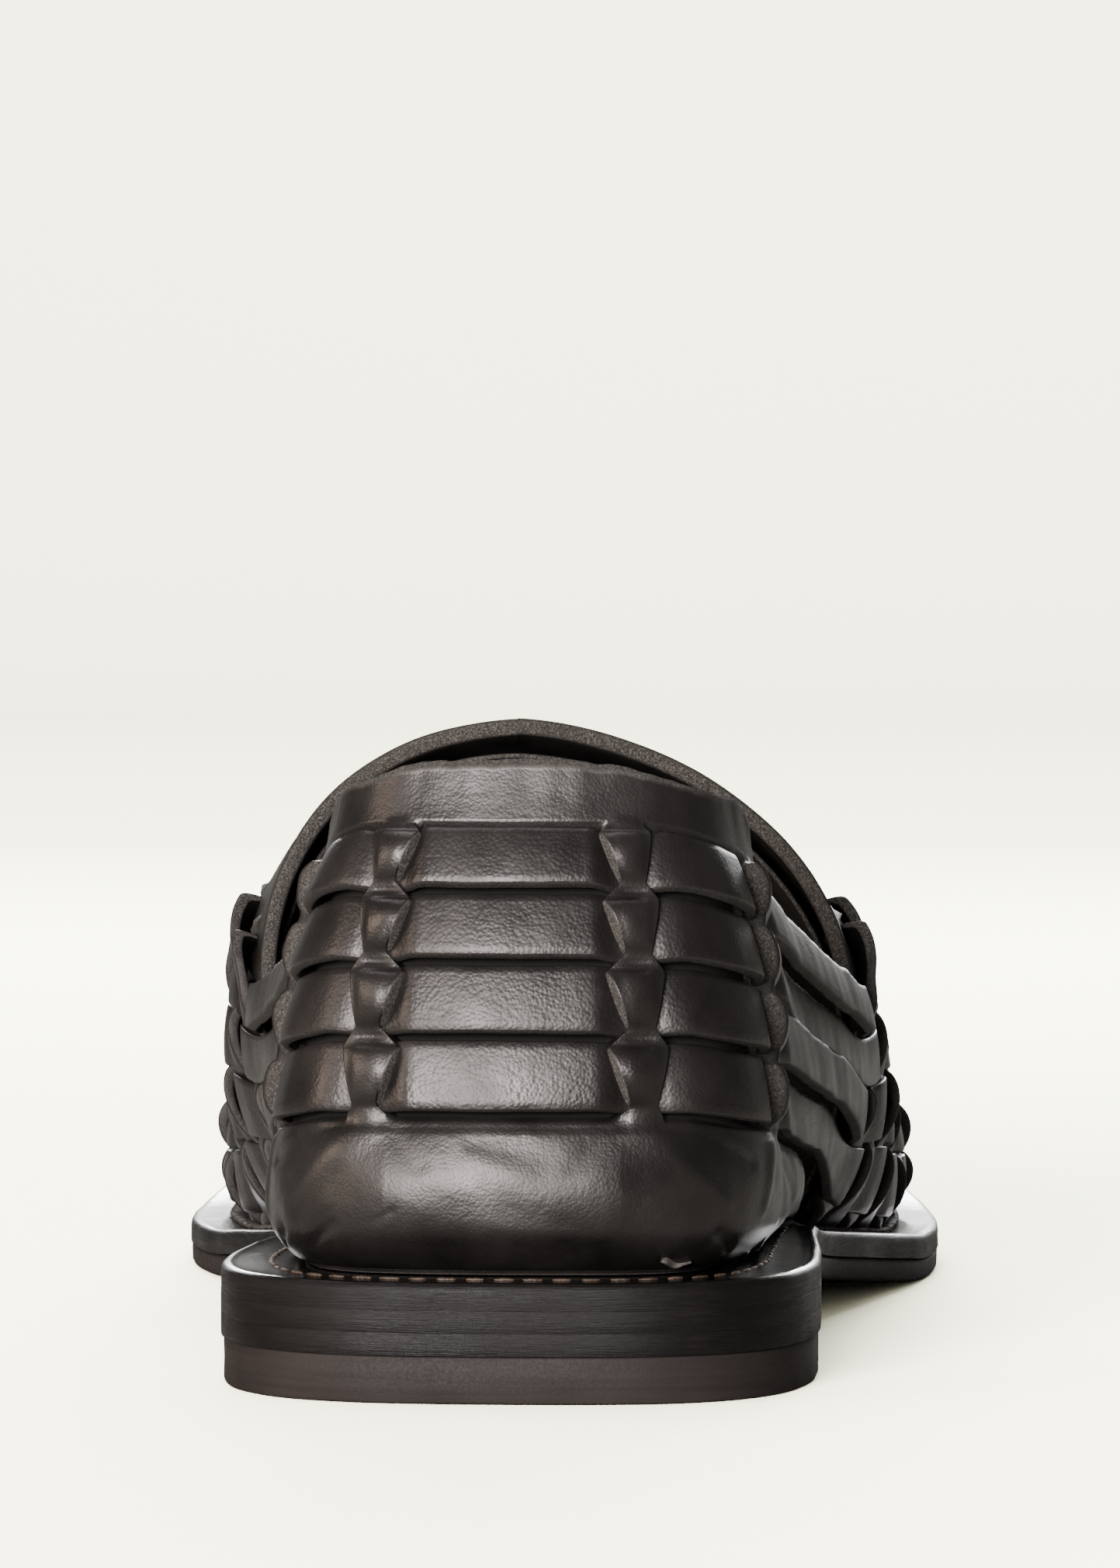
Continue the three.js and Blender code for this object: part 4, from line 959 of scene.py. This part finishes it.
def counter_grid():
    """u, v, lift, thickness and cut of the counter's grid; the cut marks raw edges, and is negative where painted
    shade fills the floor between the strips. rho goes up it: -1 the foot, 0 the lowest strip's lower edge, ROWS
    the highest one's upper edge, one more the top."""
    half, lean = slit_columns()
    sides = np.r_[-np.ones(len(half) - 1), np.ones(len(half))][:, None]
    base, lean = np.r_[half[:0:-1], half][:, None], np.r_[lean[:0:-1], lean][:, None]
    rho = np.r_[np.linspace(-1, 0, 44)[:-1], np.linspace(0, ROWS, 105), ROWS + np.linspace(0, 1, 20)[1:]]
    rho = rho[None, :]
    part = np.clip(rho, 0, ROWS) % 1.0
    tilt = np.interp(part, [0, EDGE_SHARE, 1 - EDGE_SHARE, 1], [0, 1, -1, 0]) * ((rho > 0) & (rho < ROWS))
    arc = base + lean * tilt
    u = u_at(arc * sides)
    top = v_at_height(u, BACK_HEIGHT * counter_top(arc / COUNTER_FRONT), COUNTER_LIFT)
    low = COUNTER_FOOT + (row_v(u, 0) - COUNTER_FOOT) * np.clip(rho + 1, 0, 1)
    over = np.clip(rho - ROWS, 0, 1)
    v = np.where(rho < 0, low, np.where(rho > ROWS, row_v(u, ROWS) + (top - row_v(u, ROWS)) * over,
                                        row_v(u, np.clip(rho, 0, ROWS))))
    q = np.clip((part - EDGE_SHARE) / (1 - 2 * EDGE_SHARE), 0, 1)
    ends = np.clip(np.minimum(rho, ROWS - rho) / 0.15, 0, 1)
    swollen = np.sin(np.pi * q) ** 0.7
    uneven = 1 + 0.14 * waver(arc * sides * 2.3, rho * 17, 5.0)
    pinch = np.clip(1 - np.abs(part - np.round(part)) / PINCH_WIDTH, 0, 1) ** 1.5
    pinch = pinch * np.clip(rho / 0.2, 0, 1) * np.clip((ROWS - rho) / 0.2, 0, 1)
    past = [base - SLITS[0], SLITS[1] - base, base - SLITS[2]]  # millimetres from each slit to the band's side
    owner = np.argmax(np.stack([-np.abs(p) for p in past]), axis=0)
    nearest = np.choose(owner, past)
    cut_width, push, left = (np.array(values)[owner] for values in (CUT_WIDTHS, LIPS, BETWEEN))
    crest = COUNTER_LIFT + push * (left + (1 - left) * swollen) * ends * uneven - 0.15 * pinch
    middle = 1.0 + PUFF * (0.2 + 0.8 * swollen) * ends * uneven - PINCH * pinch * uneven
    inside_rows = np.clip(np.minimum(rho, ROWS - rho) / 0.1 + 0.4, 0, 1)
    floor = COUNTER_LIFT + (WINDOW_FLOOR - COUNTER_LIFT) * inside_rows
    share = np.clip(1 + nearest / cut_width, 0, 1)
    inner = np.clip(nearest / 2.4, 0, 1)
    band = crest + (middle - crest) * inner * inner * (3 - 2 * inner)
    front = np.clip((base - COUNTER_SIDE) / (COUNTER_FRONT - COUNTER_SIDE), 0, 1)
    band = band * (1 - front) + (0.35 + 0.35 * swollen * ends) * front
    lift = floor + (band - floor) * share
    height = np.clip(rho + 1, 0, 1) * BELLY_HEIGHT
    a = arc * sides
    below = np.clip(-rho / 0.12, 0, 1)
    fullness = np.interp(arc, BELLY_ARCS, BELLY_FULLNESS)
    belly = COUNTER_LIFT + fullness * np.sin(np.pi * np.clip(rho + 1, 0, 1) ** 0.8)
    belly = belly + 0.1 * waver(a, height * 1.5, 3.0)
    for start, end, width, depth in FOLDS:
        belly = belly + depth * ridge_line(a, height, start, end, width)
    belly = belly - FOOT_TUCK * np.clip(1 - height / FOOT_TUCK_HEIGHT, 0, 1) ** 1.6
    lift = lift * (1 - below) + belly * below
    rim_lift = COUNTER_LIFT + 0.8 * over ** 2 + 0.22 * waver(a * 1.6, 5.0, 8.0) * over
    above = np.clip((rho - ROWS) / 0.15, 0, 1)
    lift = lift * (1 - above) + rim_lift * above
    at_slit = (nearest < -0.05) & (nearest > -cut_width - 0.1) & (push > 1)
    cut = at_slit * np.clip(ends * swollen * 2.2 + 0.35 * (push > 2), 0, 1)
    cut = cut * (1 - below) * (1 - above) * np.where(push > 2, 0.8, 1.0)
    # Painted shade: the floor behind the strips gets a negative cut, which paints it near black and dull.
    painted_shade = (share <= 0) * inside_rows * (1 - below) * (1 - above)
    cut = np.maximum(cut, np.clip(over * 6 - 5.2, 0, 0.7)) - painted_shade
    v = v + (over * 0.0022 * waver(a * 2.7, 3.0, 11.0))
    thick = COUNTER_SHEET + 0.5 * np.clip(rho - ROWS + 0.5, 0, 1) - 0.7 * (1 - share) * inside_rows
    return u, v, lift, thick, cut


u, v, lift, thick, cut = counter_grid()
SMOOTH_DARK, SMOOTH_LIGHT = (0.005, 0.0044, 0.0042), (0.01, 0.0088, 0.0084)
counter_leather = leather("smooth counter leather", SMOOTH_DARK, SMOOTH_LIGHT, 0.37, 0.00005, 2600.0)
counter_sheet = slab(upper_point(u, v, lift), upper_point(u, v, lift - thick), cut)
piece("counter_wrap", [counter_sheet], counter_leather, ["counter"])


SLIVER = ((0, 2, 1), (0, 1, 3), (1, 2, 3), (2, 0, 3))
FIBRES = 520


def edge_fibres(line, count, seed):
    """Loose fibres on a raw edge, each a closed sliver that leans at random from a point of the line."""
    dice = np.random.default_rng(seed)
    at = dice.normal(0.5, 0.14, count).clip(0, 1) * (len(line) - 1)
    root = np.stack([np.interp(at, np.arange(len(line)), line[:, k]) for k in range(3)], -1)
    root[:, :2] += dice.uniform(-0.35, 0.35, (count, 2))
    turn = dice.uniform(0, 2 * math.pi, count)[:, None] + np.array([0.0, 2.1, 4.2])
    width = dice.uniform(0.03, 0.06, count)[:, None]
    foot = root[:, None, :] + np.stack([width * np.cos(turn), width * np.sin(turn), 0 * turn], -1)
    tip = root + np.c_[dice.uniform(-0.4, 0.4, (count, 2)), dice.uniform(0.2, 0.75, count)]
    points = np.concatenate([foot, tip[:, None, :]], 1).reshape(-1, 3)
    faces = [tuple(4 * k + i for i in face) for k in range(count) for face in SLIVER]
    return points, faces, np.ones(len(points))


rim_line = upper_point(u[:, -1], v[:, -1], lift[:, -1] - thick[:, -1] / 2)
piece("counter_edge_fibres", [edge_fibres(rim_line, FIBRES, 3)], counter_leather)


# A shred of paler leather, torn off when the counter was lasted, sticks out where its foot meets the sole at the
# back's lateral corner.
SHRED_SHEET = 0.3
SHRED_DARK, SHRED_LIGHT = (0.06, 0.052, 0.047), (0.2, 0.18, 0.165)
shred_along, shred_out = np.meshgrid(np.linspace(0, 1, 9), np.linspace(0, 1, 6), indexing="ij")
shred_arc = 20.5 + 4.2 * shred_along - 1.2 * shred_out
shred_u = u_at(shred_arc)
shred_v = v_at_height(shred_u, 17.9 - 0.9 * shred_out + 0.5 * np.sin(4.5 * shred_along + 2.0 * shred_out))
shred_lift = -1.2 + 2.9 * shred_out * (0.7 + 0.3 * np.cos(5.0 * shred_along))
pale_leather = leather("torn pale leather", SHRED_DARK, SHRED_LIGHT, 0.45, 0.00008)
shred_faces = [upper_point(shred_u, shred_v, lift) for lift in (shred_lift, shred_lift - SHRED_SHEET)]
piece("torn_shred", [slab(*shred_faces)], pale_leather)


# Low on each side the same leather goes on forward as a wing: a soft pouch between the lowest strip and the sole,
# that comes out from under the counter's front edge and runs out before the weave.
WING_BACK, WING_FRONT = 46.5, 106.0
WING_HIDDEN = -0.9  # lift under the counter
WING_HEIGHT = 14.0


def wing(side):
    """The wing's sheet, lateral where side is 1 and medial where it is -1."""
    arc = np.linspace(WING_BACK, WING_FRONT, 96)[:, None]
    t = np.linspace(0, 1, 34)[None, :]
    u = u_at(arc * side) * np.ones_like(t)
    run = np.clip((arc - COUNTER_FRONT) / (WING_FRONT - COUNTER_FRONT), 0, 1)
    top = np.maximum(row_v(u, -0.12) * np.sqrt(np.clip(1 - run ** 4, 0, 1)), 0.012)
    v = COUNTER_FOOT + (top - COUNTER_FOOT) * t
    out = np.clip((arc - 49.6) / 3.0, 0, 1)
    out = out * out * (3 - 2 * out)
    height = t * WING_HEIGHT
    belly = 0.1 + 1.7 * np.sin(np.pi * t ** 0.8) * (0.35 + 0.65 * np.sin(np.pi * run ** 0.8))
    belly = belly + 0.3 * waver(arc * 1.3, height, 6.0 + side)
    belly = belly + 0.5 * ridge_line(arc, height, (54, 12), (66, 3), 1.8)
    belly = belly - 0.4 * ridge_line(arc, height, (58, 13), (74, 6), 1.6)
    lift = WING_HIDDEN + (belly - WING_HIDDEN) * out
    cut = np.clip(t * 8 - 7.2, 0, 0.8) * out
    return slab(upper_point(u, v, lift), upper_point(u, v, lift - COUNTER_SHEET), cut)


for side, name in ((1, "lateral"), (-1, "medial")):
    piece("counter_wing_" + name, [wing(side)], counter_leather)


# The vamp: one smooth piece over the instep and the toe, lying on the woven wall. The throat's edge is two layers
# thick and left raw. The upright strips' loops go into slits just over its lower edge and puff its leather up.
VAMP_SHEET = 2.35
LIP_HEIGHT, SLIT_DEPTH, SLIT_HALF = 1.0, 0.9, 0.9  # round a loop's end: bump over it, dent under it, their size
LIP_WIDTH, SLIT_WIDTH, SLIT_BOW = 3.2, 2.8, 0.06


def vamp():
    """The vamp's sheet, with a dent and a lip for each loop."""
    u, v = over_the_instep(lambda s: weave_top(s) + 0.006, 190, 71)
    per_u, per_v = millimetres_per(u, v, 1, 0), millimetres_per(u, v, 0, 1)
    t = (v - weave_top(np.mod(u, ROUND))) / (1 - weave_top(np.mod(u, ROUND)))
    lift = 0.25 + 0.45 * np.clip(t * 4, 0, 1) + 0.14 * waver(u * 22, v * 60, 9.0)
    cut = np.zeros_like(lift)
    for end_u, end_v in loop_ends:
        across, up = (u - end_u) * per_u, (v - end_v) * per_v
        near = (np.abs(across) < 9) & (np.abs(up) < 9)
        bow = SLIT_BOW * across ** 2
        lip = np.exp(-(across / LIP_WIDTH) ** 2 - ((up - SLIT_HALF + bow) / SLIT_HALF) ** 2) * near
        slit = np.exp(-(across / SLIT_WIDTH) ** 2 - ((up + SLIT_HALF + bow) / SLIT_HALF) ** 2) * near
        lift = lift + LIP_HEIGHT * lip - SLIT_DEPTH * slit
        cut = np.maximum(cut, (lip > 0.5) * 0.6)
    inner = upper_point(u, v, lift - VAMP_SHEET)
    return slab(upper_point(u, v, lift), inner, cut, rim=4, bulge=0.25, skip_end=True)


piece("vamp_cover", [vamp()], counter_leather, ["vamp"])


# Stitches: a thick waxed thread is whipped along the ledge of the forefoot, close against the upper, and a finer
# brown one shows as dashes on the heel's ledge. Each stitch is a worn bead of thread, pulled into the leather.
def stitch_tree():
    """Geometry nodes that lay a bead at every pitch of a path, along the path's heading."""
    tree = bpy.data.node_groups.new("row of stitches", "GeometryNodeTree")
    tree.is_modifier = True
    sockets = {}
    kinds = (("Geometry", "NodeSocketGeometry"), ("Pitch", "NodeSocketFloat"), ("Size", "NodeSocketVector"),
             ("Thread", "NodeSocketMaterial"))
    for label, kind in kinds:
        sockets[label] = tree.interface.new_socket(name=label, in_out="INPUT", socket_type=kind).identifier
    tree.interface.new_socket(name="Geometry", in_out="OUTPUT", socket_type="NodeSocketGeometry")
    given, result = tree.nodes.new("NodeGroupInput"), tree.nodes.new("NodeGroupOutput")
    curve = node(tree, "GeometryNodeMeshToCurve", {"Mesh": given.outputs["Geometry"]})
    spaced = node(tree, "GeometryNodeResampleCurve",
                  {"Curve": curve.outputs[0], "Length": given.outputs["Pitch"]}, mode="LENGTH")
    heading = node(tree, "GeometryNodeInputNamedAttribute", data_type="FLOAT_VECTOR", Name="heading")
    turn = node(tree, "FunctionNodeAlignRotationToVector", {"Vector": heading.outputs["Attribute"]}, axis="X")
    uneven = node(tree, "FunctionNodeRandomValue", data_type="FLOAT_VECTOR", Seed=5)
    uneven.inputs[0].default_value = (0.86, 0.85, 0.7)
    uneven.inputs[1].default_value = (1.12, 1.1, 1.1)
    size = node(tree, "ShaderNodeVectorMath", {0: uneven.outputs[0], 1: given.outputs["Size"]},
                operation="MULTIPLY")
    bead = node(tree, "GeometryNodeMeshIcoSphere", Radius=1.0, Subdivisions=3)
    placed = node(tree, "GeometryNodeInstanceOnPoints", {
        "Points": spaced.outputs[0], "Instance": bead.outputs[0], "Rotation": turn.outputs[0],
        "Scale": size.outputs[0]})
    real = node(tree, "GeometryNodeRealizeInstances", {"Geometry": placed.outputs[0]})
    done = node(tree, "GeometryNodeSetMaterial",
                {"Geometry": real.outputs[0], "Material": given.outputs["Thread"]})
    tree.links.new(done.outputs[0], result.inputs[0])
    return tree, sockets


stitches, stitch_sockets = stitch_tree()


def stitch_row(name, points, heading, pitch, size, thread):
    """Stitches along points, each lying along its heading, as one plain mesh."""
    mesh = bpy.data.meshes.new(name + "_path")
    steps = [(k, k + 1) for k in range(len(points) - 1)]
    mesh.from_pydata(((points - (0.0, HEEL_REST, 0.0)) * 0.001).tolist(), steps, [])
    headings = mesh.attributes.new("heading", "FLOAT_VECTOR", "POINT")
    headings.data.foreach_set("vector", heading.reshape(-1).tolist())
    path = bpy.data.objects.new(name + "_path", mesh)
    bpy.context.scene.collection.objects.link(path)
    modifier = path.modifiers.new("stitches", "NODES")
    modifier.node_group = stitches
    for label, value in (("Pitch", pitch * 0.001), ("Size", [s * 0.001 for s in size]), ("Thread", thread)):
        modifier[stitch_sockets[label]] = value
    evaluated = path.evaluated_get(bpy.context.evaluated_depsgraph_get())
    sewn = bpy.data.meshes.new_from_object(evaluated)
    bpy.data.objects.remove(path)
    bpy.data.meshes.remove(mesh)
    for face in sewn.polygons:
        face.use_smooth = True
    made = bpy.data.objects.new(name, sewn)
    bpy.context.scene.collection.objects.link(made)
    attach(made, "root")
    return made


def thread_material(name, dark, pale):
    """Waxed thread, its strands seen as fine noise."""
    material = bpy.data.materials.new(name)
    tree, shader = nodes_of(material)
    place = tree.nodes.new("ShaderNodeTexCoord").outputs["Object"]
    spun = node(tree, "ShaderNodeTexNoise", {"Vector": place}, Scale=2400.0, Detail=3.0)
    tree.links.new(ramp(tree, spun.outputs["Fac"], [(0.38, dark), (0.62, pale)]), shader.inputs["Base Color"])
    tree.links.new(bump(tree, spun.outputs["Fac"], 0.6, 0.0002), shader.inputs["Normal"])
    shader.inputs["Roughness"].default_value = 0.6
    return material


black_thread = thread_material("waxed black thread", (0.01, 0.009, 0.009), (0.05, 0.043, 0.038))
brown_thread = thread_material("brown thread", (0.02, 0.012, 0.008), (0.085, 0.055, 0.036))


def ledge_path(u, out, rise, lean):
    """Points on the ledge a distance outside the upper's foot, and headings turned from the path by lean
    degrees."""
    x, y = outline(np.mod(u, ROUND), ledge(np.mod(u, ROUND)) - out)
    points = np.stack([x, y, seat(y) + rise], -1)
    along = unit(np.gradient(points, axis=0))
    turned = math.radians(lean)
    side = np.stack([along[:, 1], -along[:, 0], 0 * x], -1)
    return points, along * math.cos(turned) + side * math.sin(turned)


LEDGE_PITCH, LEDGE_BEAD, LEDGE_LEAN = 1.75, (1.15, 0.62, 0.5), 62.0  # the bead's half length, width and height
HEEL_PITCH, HEEL_BEAD, HEEL_STITCHES = 3.6, (1.25, 0.36, 0.22), 78.0  # the last is how far forward they go
forepart = even_stations(weave_station - 0.9, LAST_STATION - 0.02, 500)
for name, at, lean in (("lateral", forepart, LEDGE_LEAN), ("medial", ROUND - forepart, -LEDGE_LEAN)):
    points, heading = ledge_path(at, 1.1, 0.3, lean)
    stitch_row("ledge_stitches_" + name, points, heading, LEDGE_PITCH, LEDGE_BEAD, black_thread)
hindpart = even_stations(0, station_at(HEEL_STITCHES), 160)
points, heading = ledge_path(np.r_[ROUND - hindpart[::-1], hindpart], 1.9, 0.02, 0.0)
stitch_row("heel_stitches", points, heading, HEEL_PITCH, HEEL_BEAD, brown_thread)
